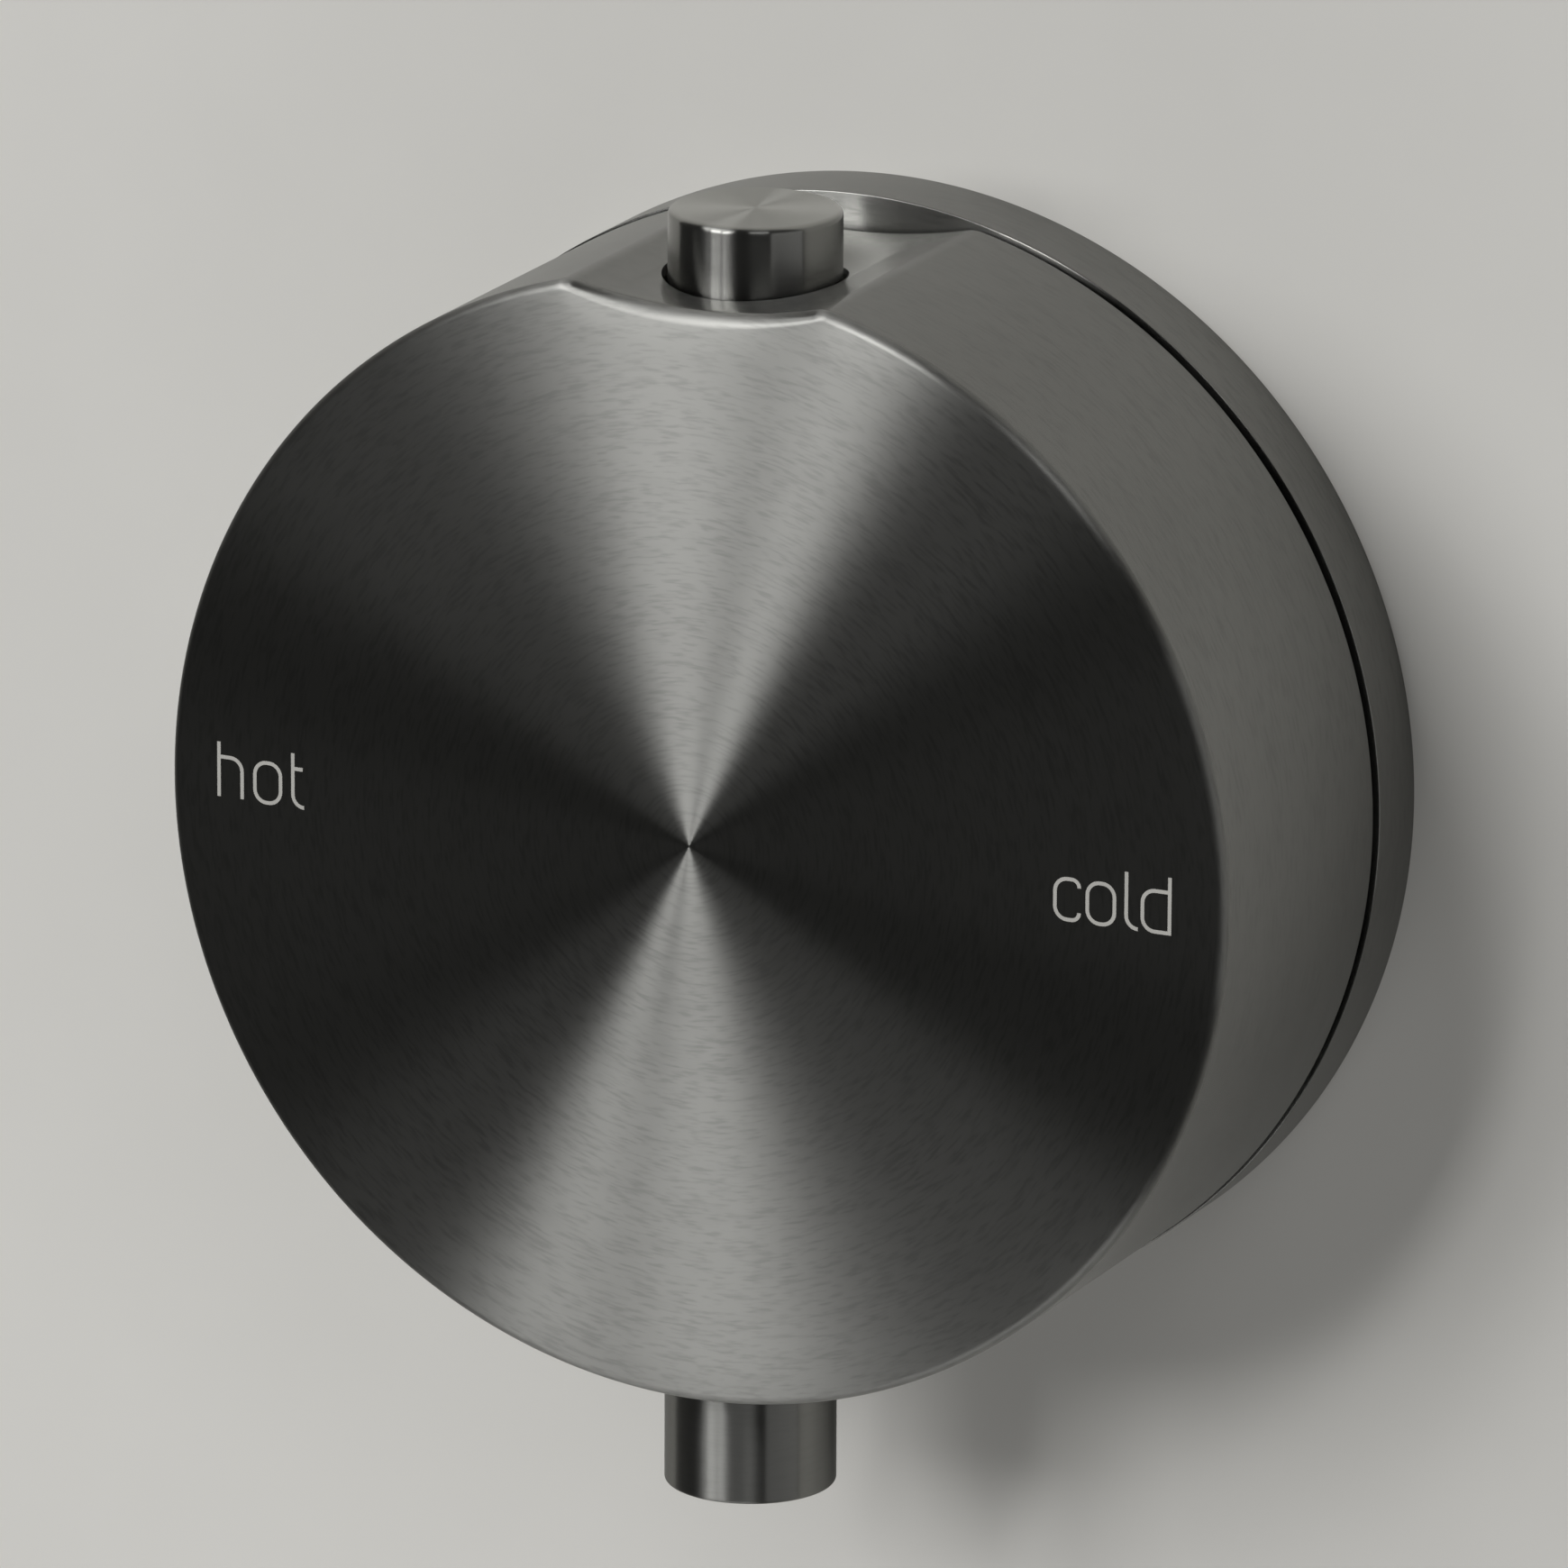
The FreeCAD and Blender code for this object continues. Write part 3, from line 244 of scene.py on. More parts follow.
class Studio(bpy.types.PropertyGroup):
    """Camera and lamps."""
    place: FloatVectorProperty(
        name="Camera", description="The camera's place", subtype="TRANSLATION", unit="LENGTH",
        default=(0.6630, -1.4223, 0.4536))
    azimuth: FloatProperty(
        name="Azimuth", description="How far the camera is to the right", default=math.radians(25.40),
        subtype="ANGLE")
    elevation: FloatProperty(
        name="Elevation", description="How far the camera looks down", default=math.radians(16.34), subtype="ANGLE")
    roll: FloatProperty(
        name="Roll", description="How far the camera leans to its side", default=math.radians(0.27), subtype="ANGLE")
    lens: FloatProperty(name="Lens", description="Focal length", default=356.6, unit="CAMERA")
    shift: FloatVectorProperty(
        name="Shift", description="Camera shift across and up", size=2, default=(0.0017, 0.0027))
    lamp_distance: FloatProperty(
        name="Lamp distance", description="From the lamps to the mixer", default=2.2, unit="LENGTH")
    lamp_strength: FloatProperty(
        name="Lamp strength", description="Scales the power of all lamps", default=1.0, min=0)


# Mesh helpers

def new_piece(name, mesh):
    """Object that shows a mesh."""
    piece = bpy.data.objects.new(name, mesh)
    bpy.context.scene.collection.objects.link(piece)
    return piece


def mesh_data(name, mesh, turn_outward=True):
    """Mesh to show, from a mesh that is being built."""
    if turn_outward:
        bmesh.ops.recalc_face_normals(mesh, faces=mesh.faces)
    made = bpy.data.meshes.new(name)
    mesh.to_mesh(made)
    mesh.free()
    return made


def skin(mesh, rings, capped=True):
    """Joins each ring of points to the next, and closes the two ends."""
    for first, second in zip(rings, rings[1:]):
        for index in range(len(first)):
            after = (index + 1) % len(first)
            mesh.faces.new((first[index], first[after], second[after], second[index]))
    if capped:
        mesh.faces.new(rings[0])
        mesh.faces.new(rings[-1])


def quarter_turn(steps):
    """Sine and cosine at even steps from 0 to 90 degrees."""
    turns = [math.pi / 2 * step / steps for step in range(steps + 1)]
    return [(math.sin(turn), math.cos(turn)) for turn in turns]


def soften(mesh, axis=None, sharp=35, square=0.999999):
    """Smooth shading, with sharp edges kept and the faces square to an axis left flat."""
    mesh.polygons.foreach_set("use_smooth", [True] * len(mesh.polygons))
    mesh.set_sharp_from_angle(angle=math.radians(sharp))
    if axis is not None:
        for face in mesh.polygons:
            if abs(face.normal.dot(axis)) > square:
                face.use_smooth = False


def rounded(corners):
    """Outline from corners (across, along, rounding), with a point just beside each arc."""
    points = []
    for index, (across, along, radius) in enumerate(corners):
        here = Vector((across, along))
        if not radius:
            points.append(here)
            continue
        before = Vector(corners[index - 1][:2]) - here
        after = Vector(corners[(index + 1) % len(corners)][:2]) - here
        half = before.angle(after) / 2
        before.normalize()
        after.normalize()
        reach = radius / math.tan(half)
        centre = here + (before + after).normalized() * (radius / math.sin(half))
        first, last = here + before * reach, here + after * reach
        points.append(first + before * SUPPORT)
        turn = (first - centre).angle_signed(last - centre)
        for step in range(ROUND_STEPS + 1):
            arm = first - centre
            arm.rotate(Matrix.Rotation(-turn * step / ROUND_STEPS, 2))
            points.append(centre + arm)
        points.append(last + after * SUPPORT)
    return points


def turned(name, outline, axis, centre=Vector(), segments=256, on_axis=1e-7):
    """Piece made by turning a closed outline of (across, along) points round an axis."""
    side = Vector((1, 0, 0))
    other = side.cross(axis) * -1
    mesh = bmesh.new()
    rings = []
    for across, along in outline:
        if across < on_axis:
            rings.append([mesh.verts.new(centre + axis * along)])
            continue
        ring = []
        for step in range(segments):
            angle = 2 * math.pi * step / segments
            spoke = side * math.cos(angle) + other * math.sin(angle)
            ring.append(mesh.verts.new(centre + axis * along + spoke * across))
        rings.append(ring)
    for index, ring in enumerate(rings):
        following = rings[(index + 1) % len(rings)]
        for step in range(segments):
            a, b = ring[step % len(ring)], ring[(step + 1) % len(ring)]
            d, c = following[step % len(following)], following[(step + 1) % len(following)]
            corners = list(dict.fromkeys((a, b, c, d)))
            if len(corners) > 2:
                mesh.faces.new(corners)
    made = mesh_data(name, mesh)
    soften(made, axis)
    return new_piece(name, made)


def joined(piece, other):
    """Adds the mesh of another object to a piece."""
    mesh = bmesh.new()
    mesh.from_mesh(piece.data)
    mesh.from_mesh(other.data)
    mesh.to_mesh(piece.data)
    mesh.free()
    bpy.data.objects.remove(other)


def cut_away(piece, cutters):
    """Cuts solid shapes out of a piece."""
    for cutter in cutters:
        modifier = piece.modifiers.new("cut", "BOOLEAN")
        modifier.operation = "DIFFERENCE"
        modifier.solver = "EXACT"
        modifier.object = cutter
        shown = piece.evaluated_get(bpy.context.evaluated_depsgraph_get())
        piece.data = bpy.data.meshes.new_from_object(shown)
        piece.modifiers.clear()
        bpy.data.objects.remove(cutter)


def break_edges(piece, wanted, width, sharp=50, weld=2e-6):
    """Small bevel on the sharp edges whose both ends pass a test."""
    mesh = bmesh.new()
    mesh.from_mesh(piece.data)
    bmesh.ops.remove_doubles(mesh, verts=mesh.verts, dist=weld)
    edges = [edge for edge in mesh.edges
             if len(edge.link_faces) == 2 and edge.calc_face_angle() > math.radians(sharp)
             and wanted(edge.verts[0].co) and wanted(edge.verts[1].co)]
    bmesh.ops.bevel(mesh, geom=edges, offset=width, segments=2, profile=0.5, affect="EDGES", clamp_overlap=True)
    mesh.to_mesh(piece.data)
    mesh.free()


def peg(radius, start, end, segments=96):
    """Plain round cutter between two points."""
    way = end - start
    mesh = bmesh.new()
    bmesh.ops.create_cone(mesh, cap_ends=True, segments=segments, radius1=radius, radius2=radius,
                          depth=way.length)
    turn = way.to_track_quat("Z", "Y").to_matrix().to_4x4()
    bmesh.ops.transform(mesh, matrix=Matrix.Translation((start + end) / 2) @ turn, verts=mesh.verts)
    made = mesh_data("cutter", mesh, turn_outward=False)
    made.polygons.foreach_set("use_smooth", [len(face.vertices) == 4 for face in made.polygons])
    return new_piece("cutter", made)


def seat(piece, body, material, slot, *nodes):
    """Gives a piece its material and finish, ties it to its body, and hides the nodes that it stands for."""
    piece.data.materials.clear()
    piece.data.materials.append(material)
    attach(piece, body)
    if nodes:
        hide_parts(*nodes)


# Shader helpers

def feed(tree, socket, value):
    """Links a value that comes from another node to a socket, or else sets the socket to it."""
    if isinstance(value, bpy.types.NodeSocket):
        tree.links.new(value, socket)
    else:
        socket.default_value = value


def add(tree, kind, values=(), **settings):
    """New node, with its settings, and its inputs fed by name or number."""
    node = tree.nodes.new(kind)
    for key, value in settings.items():
        setattr(node, key, value)
    for key, value in dict(values).items():
        feed(tree, node.inputs[key], value)
    return node


def vector_math(tree, operation, first, second=None, scale=None):
    """Vector Math node's result."""
    values = {0: first}
    if second is not None:
        values[1] = second
    if scale is not None:
        values["Scale"] = scale
    node = add(tree, "ShaderNodeVectorMath", values, operation=operation)
    return node.outputs["Value" if operation in ("DOT_PRODUCT", "LENGTH") else "Vector"]


def number_math(tree, operation, first, second):
    """Math node's result."""
    return add(tree, "ShaderNodeMath", {0: first, 1: second}, operation=operation).outputs[0]


def total(tree, first, *others):
    """Sum of some numbers."""
    for other in others:
        first = number_math(tree, "ADD", first, other)
    return first


def ranged(tree, value, given, wanted):
    """Value carried over from one range to another by a Map Range node."""
    (low, high), (to_low, to_high) = given, wanted
    values = {"Value": value, "From Min": low, "From Max": high, "To Min": to_low, "To Max": to_high}
    return add(tree, "ShaderNodeMapRange", values).outputs["Result"]


def mixed(tree, factor, first, second):
    """Mix of two colours."""
    colours = {0: factor, 6: first, 7: second}
    return add(tree, "ShaderNodeMix", colours, data_type="RGBA").outputs[2]


def noise(tree, vector, scale, detail, roughness, w=None):
    """Noise node's value, in four dimensions where a fourth place is given."""
    values = {"Vector": vector, "Scale": scale, "Detail": detail, "Roughness": roughness}
    if w is not None:
        values["W"] = w
    dimensions = "3D" if w is None else "4D"
    return add(tree, "ShaderNodeTexNoise", values, noise_dimensions=dimensions).outputs["Fac"]


def fill_turning_marks(tree, given, result):
    """Fine lines round an axis, as a lathe or a spinning brush leaves them, and broader bands of them."""
    along = vector_math(tree, "DOT_PRODUCT", given["Place"], given["Axis"])
    on_axis = vector_math(tree, "SCALE", given["Axis"], scale=along)
    spoke = vector_math(tree, "SUBTRACT", given["Place"], on_axis)
    across = vector_math(tree, "LENGTH", spoke)
    tree.links.new(across, result["Across"])
    breaks = number_math(tree, "DIVIDE", 1.0, given["Length"])
    for label, share, break_share, detail in (("Lines", 1.0, 1.0, 1.5), ("Bands", 0.16, 0.35, 1.0)):
        fineness = number_math(tree, "MULTIPLY", given["Fineness"], share)
        round_way = vector_math(tree, "SCALE", spoke, scale=number_math(tree, "MULTIPLY", breaks, break_share))
        long_way = vector_math(tree, "SCALE", on_axis, scale=fineness)
        place = vector_math(tree, "ADD", round_way, long_way)
        depth = number_math(tree, "MULTIPLY", across, fineness)
        tree.links.new(noise(tree, place, 1.0, detail, 0.5, depth), result[label])


def fill_noises(noises):
    """Filler for a group with one noise (scale, detail, roughness) for each output."""
    def fill(tree, given, result):
        scale = number_math(tree, "DIVIDE", 1.0, given["Size"])
        place = vector_math(tree, "SCALE", given["Place"], scale=scale)
        for label, settings in noises.items():
            tree.links.new(noise(tree, place, *settings), result[label])
    return fill


# Each group's filler, its inputs and its outputs
SHARED_GROUPS = {
    "turning marks": (fill_turning_marks,
                      {"Place": (0, 0, 0), "Axis": (0, 1, 0), "Fineness": 2500.0, "Length": 0.0025},
                      ("Lines", "Bands", "Across")),
    "wiped surface": (fill_noises({"Patches": (1.0, 3.0, 0.55)}),
                      {"Place": (0, 0, 0), "Size": 0.03}, ("Patches",)),
    "surface grain": (fill_noises({"Height": (1.0, 3.0, 0.6), "Mottle": (0.07, 2.0, 0.5)}),
                      {"Place": (0, 0, 0), "Size": 0.0004}, ("Height", "Mottle")),
}


def shared_group(name):
    """One of the shared node groups, made on its first use."""
    if name in bpy.data.node_groups:
        return bpy.data.node_groups[name]
    fill, inputs, outputs = SHARED_GROUPS[name]
    tree = bpy.data.node_groups.new(name, "ShaderNodeTree")
    for label, default in inputs.items():
        kind = "NodeSocketVector" if isinstance(default, tuple) else "NodeSocketFloat"
        socket = tree.interface.new_socket(label, in_out="INPUT", socket_type=kind)
        socket.default_value = default
    for label in outputs:
        tree.interface.new_socket(label, in_out="OUTPUT", socket_type="NodeSocketFloat")
    start = tree.nodes.new("NodeGroupInput")
    end = tree.nodes.new("NodeGroupOutput")
    fill(tree, start.outputs, end.inputs)
    return tree


def use_group(tree, name, values):
    """Outputs of one of the shared node groups."""
    node = tree.nodes.new("ShaderNodeGroup")
    node.node_tree = shared_group(name)
    for key, value in values.items():
        feed(tree, node.inputs[key], value)
    return node.outputs


def darker(colour, share):
    """Colour times a share."""
    return [part * share for part in colour]


def opaque(colour):
    """Colour with a full fourth value."""
    return (*colour[:3], 1.0)


def blank_material(name):
    """Material with a Principled shader alone, and its place in the piece's own space."""
    material = bpy.data.materials.new(name)
    material.use_nodes = True
    tree = material.node_tree
    tree.nodes.clear()
    shader = add(tree, "ShaderNodeBsdfPrincipled")
    output = add(tree, "ShaderNodeOutputMaterial")
    tree.links.new(shader.outputs["BSDF"], output.inputs["Surface"])
    place = add(tree, "ShaderNodeTexCoord").outputs["Object"]
    return material, tree, shader, place


def turned_metal(name, axis, centre, light, shade, roughness, anisotropy=1.0, fineness=2900.0, length=0.0022,
                 behind=None, rear_roughness=None, painted_light_tone=1.0, relief=0.05, edge_tint=1.0):
    """Metal with marks round an axis, and reflections drawn out across them.

    Behind a depth, where one is given, the finish has a roughness of its own, and its colour is scaled by a painted
    light tone: on the button this paints its top disc lighter, as a painted highlight."""
    material, tree, shader, place = blank_material(name)
    place = vector_math(tree, "SUBTRACT", place, tuple(centre))
    marks = use_group(tree, "turning marks",
                      {"Place": place, "Axis": tuple(axis), "Fineness": fineness, "Length": length})
    wipes = use_group(tree, "wiped surface", {"Place": place, "Size": 0.03})
    lines = ranged(tree, marks["Lines"], LINE_NOISE, SHARE)
    bands = ranged(tree, marks["Bands"], EVEN_NOISE, (-0.25, 0.25))
    colour = mixed(tree, total(tree, lines, bands), opaque(shade), opaque(light))
    marked = ranged(tree, lines, SHARE, (-0.008, 0.008))
    worn = ranged(tree, wipes["Patches"], WORN_NOISE, (-0.01, 0.015))
    outward = ranged(tree, marks["Across"], FACE_SPAN, (-0.012, 0.018))
    level = roughness
    if rear_roughness is not None:
        depth = vector_math(tree, "DOT_PRODUCT", place, tuple(axis))
        rear = ranged(tree, depth, (behind, behind + 0.3 * MM), SHARE)
        level = ranged(tree, rear, SHARE, (roughness, rear_roughness))
        # Past the depth the colour is scaled by the painted light tone, a painted highlight wherever the tone is
        # above 1.
        colour = mixed(tree, rear, colour, vector_math(tree, "SCALE", colour, scale=painted_light_tone))
    bump = add(tree, "ShaderNodeBump", {"Height": marks["Lines"], "Strength": relief, "Distance": 0.01 * MM})
    round_way = vector_math(tree, "CROSS_PRODUCT", tuple(axis), place)
    in_room = add(tree, "ShaderNodeVectorTransform", {"Vector": round_way}, vector_type="VECTOR",
                  convert_from="OBJECT", convert_to="WORLD").outputs["Vector"]
    for label, value in {
            "Base Color": colour, "Roughness": total(tree, marked, worn, outward, level),
            "Normal": bump.outputs["Normal"], "Tangent": vector_math(tree, "NORMALIZE", in_room),
            "Metallic": 1.0, "Anisotropic": anisotropy, "Anisotropic Rotation": ACROSS_MARKS,
            "Specular Tint": (edge_tint, edge_tint, edge_tint, 1.0)}.items():
        feed(tree, shader.inputs[label], value)
    return material


def grained(name, light, shade, roughness, size=0.0004, metallic=0.0, relief=0.2, depth=0.02 * MM):
    """Material with an even grain and faint mottling."""
    material, tree, shader, place = blank_material(name)
    marks = use_group(tree, "surface grain", {"Place": place, "Size": size})
    wipes = use_group(tree, "wiped surface", {"Place": place, "Size": 0.02})
    tone = ranged(tree, marks["Mottle"], EVEN_NOISE, SHARE)
    bump = add(tree, "ShaderNodeBump", {"Height": marks["Height"], "Strength": relief, "Distance": depth})
    for label, value in {
            "Base Color": mixed(tree, tone, opaque(shade), opaque(light)),
            "Roughness": ranged(tree, wipes["Patches"], EVEN_NOISE, (roughness - 0.05, roughness + 0.05)),
            "Normal": bump.outputs["Normal"], "Metallic": metallic}.items():
        feed(tree, shader.inputs[label], value)
    return material


def finish_material(name):
    """Material of one of this mixer's finishes, made on its first use."""
    if name in bpy.data.materials:
        return bpy.data.materials[name]
    finish = bpy.context.scene.mixer_finish
    rough, fine = finish.steel_roughness, finish.fine_roughness
    on_dial = dict(axis=WALL_AXIS, centre=Vector())
    upright = dict(axis=UP, centre=SPOUT_AXIS)
    spun = dict(light=finish.steel, shade=finish.steel_shade)
    fine_turned = dict(light=finish.steel, shade=darker(finish.steel, 0.95), fineness=3500.0, relief=0.01)
    brass = dict(light=finish.brass, shade=darker(finish.brass, 0.8), roughness=0.32, anisotropy=0.6,
                 fineness=1800.0)
    turned_finishes = {
        "spun dial steel": dict(on_dial, **spun, roughness=rough, behind=DIAL_LOW.y + 1.2 * MM,
                                rear_roughness=fine),
        "turned flange steel": dict(on_dial, **spun, roughness=fine),
        # The button's top disc and the top of its rounded edge are painted 1.9 times lighter, a painted highlight
        # for the light that the top catches.
        "turned button steel": dict(upright, **fine_turned, roughness=rough - 0.07,
                                    behind=BUTTON_HIGH.z - 0.35 * MM, rear_roughness=rough - 0.05,
                                    painted_light_tone=1.9),
        "turned outlet steel": dict(upright, **fine_turned, roughness=rough + 0.02, edge_tint=0.6),
        "machined brass": dict(on_dial, **brass),
        "upright brass": dict(upright, **brass),
    }
    grained_finishes = {
        "plain steel": dict(light=(0.45, 0.45, 0.44), shade=(0.38, 0.38, 0.37), roughness=0.34, size=0.0005,
                            metallic=1.0),
        "bright spring steel": dict(light=(0.58, 0.58, 0.58), shade=(0.48, 0.48, 0.48), roughness=0.22,
                                    size=0.0003, metallic=1.0),
        "black glide plastic": dict(light=(0.024, 0.024, 0.024), shade=(0.016, 0.016, 0.016), roughness=0.5),
        "pale moulded plastic": dict(light=(0.66, 0.66, 0.62), shade=(0.58, 0.58, 0.54), roughness=0.42),
        "lapped ceramic": dict(light=(0.80, 0.79, 0.75), shade=(0.74, 0.73, 0.69), roughness=0.16, size=0.0002,
                               relief=0.05),
        "seal rubber": dict(light=(0.022, 0.022, 0.022), shade=(0.014, 0.014, 0.014), roughness=0.62,
                            size=0.0003, relief=0.3),
        "word paint": dict(light=finish.letters, shade=darker(finish.letters, 0.93), roughness=0.5, size=0.0002),
        "wall paint": dict(light=finish.wall, shade=darker(finish.wall, 0.985), roughness=0.85, size=0.0012,
                           relief=0.08, depth=0.05 * MM),
    }
    if name in turned_finishes:
        return turned_metal(name, **turned_finishes[name])
    return grained(name, **grained_finishes[name])


# Outlines

def scoop_places(sizes):
    """Height of the scoop's centre, and the centre of the rounding beside it."""
    hub = sizes.radius - sizes.scoop_depth + sizes.scoop_radius
    near, far = sizes.radius - sizes.scoop_corner, sizes.scoop_radius + sizes.scoop_corner
    height = (near ** 2 - far ** 2 + hub ** 2) / (2 * hub)
    return hub, Vector((math.sqrt(near ** 2 - height ** 2), height))


def arc(centre, radius, start, end, steps):
    """Points of an arc between two angles, without its last one."""
    angles = [start + (end - start) * step / steps for step in range(steps)]
    return [centre + Vector((math.cos(angle), math.sin(angle))) * radius for angle in angles]


def drum_outline(sizes, inset):
    """Outline (x, z) of the drum with its scoop, drawn in by an inset."""
    hub, corner = scoop_places(sizes)
    other = Vector((-corner.x, corner.y))
    right = math.atan2(corner.y, corner.x)
    to_hub = math.atan2(hub - corner.y, corner.x)
    round_radius = sizes.scoop_corner - inset
    points = arc(Vector((0, 0)), sizes.radius - inset, right, -math.pi - right, sizes.segments)
    points += arc(other, round_radius, math.pi - right, to_hub, CORNER_STEPS)
    points += arc(Vector((0, hub)), sizes.scoop_radius + inset, -math.pi + to_hub, -to_hub, SCOOP_STEPS)
    points += arc(corner, round_radius, math.pi - to_hub, right, CORNER_STEPS)
    return points


def face_depth(sizes, across):
    """Depth of the gently domed face at a distance from its middle."""
    return DIAL_LOW.y + sizes.dome * (across / sizes.radius) ** 2


def front_edge(sizes):
    """Rings of (place, depth behind the face) round the front edge, which is rounded more in the scoop."""
    half_scoop = CORNER_STEPS + SCOOP_STEPS // 2
    ramp = [math.sin(0.5 * math.pi / half_scoop * (step + 1)) for step in range(half_scoop)]
    shares = [0.0] * sizes.segments + ramp + ramp[::-1]
    radii = [sizes.front_round + (sizes.scoop_round - sizes.front_round) * share for share in shares]
    rings = []
    for sine, cosine in quarter_turn(FRONT_STEPS):
        plain = drum_outline(sizes, sizes.front_round * (1 - sine))
        fuller = drum_outline(sizes, sizes.scoop_round * (1 - sine))
        places = [p.lerp(q, share) for p, q, share in zip(plain, fuller, shares)]
        rings.append([(place, radius * (1 - cosine)) for place, radius in zip(places, radii)])
    return rings


def dial_mesh(sizes):
    """Drum with domed face, rounded edges, scoop and cavity."""
    edge = front_edge(sizes)
    rings = []
    for step in range(1, FACE_RINGS):
        rings.append([(place * step / FACE_RINGS, 0) for place, _ in edge[0]])
    places = [[(p.x, face_depth(sizes, p.length) + back, p.y) for p, back in ring] for ring in rings + edge]
    stations = [(DIAL_LOW.y + sizes.dome + sizes.scoop_round + SUPPORT, 0),
                (DIAL_HIGH.y - sizes.rear_round - SUPPORT, 0)]
    for sine, cosine in quarter_turn(ROUND_STEPS):
        stations.append((DIAL_HIGH.y - sizes.rear_round * (1 - sine), sizes.rear_round * (1 - cosine)))
    for depth, inset in stations:
        places.append([(p.x, depth, p.y) for p in drum_outline(sizes, inset)])
    bore = sizes.radius - sizes.wall
    spokes = [p.normalized() * bore for p in drum_outline(sizes, 0)]
    for depth in (DIAL_HIGH.y, DIAL_LOW.y + sizes.face):
        places.append([(p.x, depth, p.y) for p in spokes])
    mesh = bmesh.new()
    skin(mesh, [[mesh.verts.new(place) for place in ring] for ring in places])
    made = mesh_data("dial", mesh)
    soften(made, WALL_AXIS)
    return made


def slot_cutter(sizes, past_wall=1.6, past_rim=1.5 * MM, pointed=1e-5):
    """Cutter for the outlet's arc slot, with round ends."""
    half, width = sizes.slot_half_angle, sizes.slot_half_width
    ends = [(width * cosine, max(width * sine, pointed)) for sine, cosine in quarter_turn(SLOT_END_STEPS)]
    stations = [(-half, -beyond, reach) for beyond, reach in ends]
    stations += [(half * (2 * step / SLOT_STEPS - 1), 0, width) for step in range(1, SLOT_STEPS)]
    stations += [(half, beyond, reach) for beyond, reach in reversed(ends)]
    inner, outer = sizes.radius - past_wall * sizes.wall, sizes.radius + past_rim
    mesh = bmesh.new()
    rows = []
    for angle, beyond, reach in stations:
        down = Vector((math.sin(angle), -math.cos(angle)))
        along = Vector((math.cos(angle), math.sin(angle)))
        row = []
        for radius, side in ((inner, -1), (inner, 1), (outer, 1), (outer, -1)):
            spot = down * radius + along * beyond
            row.append(mesh.verts.new((spot.x, SPOUT_AXIS.y + side * reach, spot.y)))
        rows.append(row)
    skin(mesh, rows)
    bmesh.ops.triangulate(mesh, faces=mesh.faces)
    made = mesh_data("cutter", mesh)
    made.polygons.foreach_set("use_smooth", [True] * len(made.polygons))
    return new_piece("cutter", made)


def coil(name, radius, wire, turns, start, way):
    """Open coil spring that runs from start along way."""
    axis, across = way.normalized(), Vector((1, 0, 0))
    other = axis.cross(across)
    rise = way.length - 2 * wire
    climb = axis * (rise / (2 * math.pi * turns * radius))
    count = COIL_STEPS * turns
    section = [2 * math.pi * side / WIRE_SIDES for side in range(WIRE_SIDES)]
    mesh = bmesh.new()
    rings = []
    for step in range(count + 1):
        turn = 2 * math.pi * turns * step / count
        spoke = across * math.cos(turn) + other * math.sin(turn)
        heading = other * math.cos(turn) - across * math.sin(turn) + climb
        lift = spoke.cross(heading.normalized())
        centre = start + axis * (wire + rise * step / count) + spoke * radius
        rings.append([mesh.verts.new(centre + (spoke * math.cos(angle) + lift * math.sin(angle)) * wire)
                      for angle in section])
    skin(mesh, rings)
    made = mesh_data(name, mesh)
    soften(made)
    return new_piece(name, made)


# Letters, drawn as plain strokes

def bent_stroke(points, bend):
    """Path through points (x, z, bent or not), with arcs at the bends."""
    path = []
    for index, (x, z, bent) in enumerate(points):
        here = Vector((x, z))
        if not bent:
            path.append(here)
            continue
        before = Vector(points[index - 1][:2]) - here
        after = Vector(points[(index + 1) % len(points)][:2]) - here
        reach = min(bend, before.length * 0.999, after.length * 0.999)
        before, after = before.normalized() * reach, after.normalized() * reach
        centre = here + before + after
        path += [centre - after * cosine - before * sine for sine, cosine in quarter_turn(BEND_STEPS)]
    return path


def ribbon(mesh, path, width, layers, closed):
    """Adds a flat stroke of a width along a path, between the two layers that give its depths."""
    rows = []
    count = len(path)
    for index, here in enumerate(path):
        ways = []
        if index or closed:
            ways.append((here - path[index - 1]).normalized())
        if index + 1 < count or closed:
            ways.append((path[(index + 1) % count] - here).normalized())
        way = sum(ways, Vector((0, 0))).normalized()
        side = Vector((-way.y, way.x))
        spread = side * (width / 2 / max(side.dot(Vector((-ways[0].y, ways[0].x))), 0.5))
        rows.append([mesh.verts.new((p.x, layer(p), p.y)) for p in (here + spread, here - spread)
                     for layer in layers])
    pairs = list(zip(rows, rows[1:])) + ([(rows[-1], rows[0])] if closed else [])
    for first, second in pairs:
        for a, b in ((0, 2), (2, 3), (3, 1), (1, 0)):
            mesh.faces.new((first[a], first[b], second[b], second[a]))
    if not closed:
        for row in (rows[0], rows[-1]):
            mesh.faces.new((row[0], row[2], row[3], row[1]))


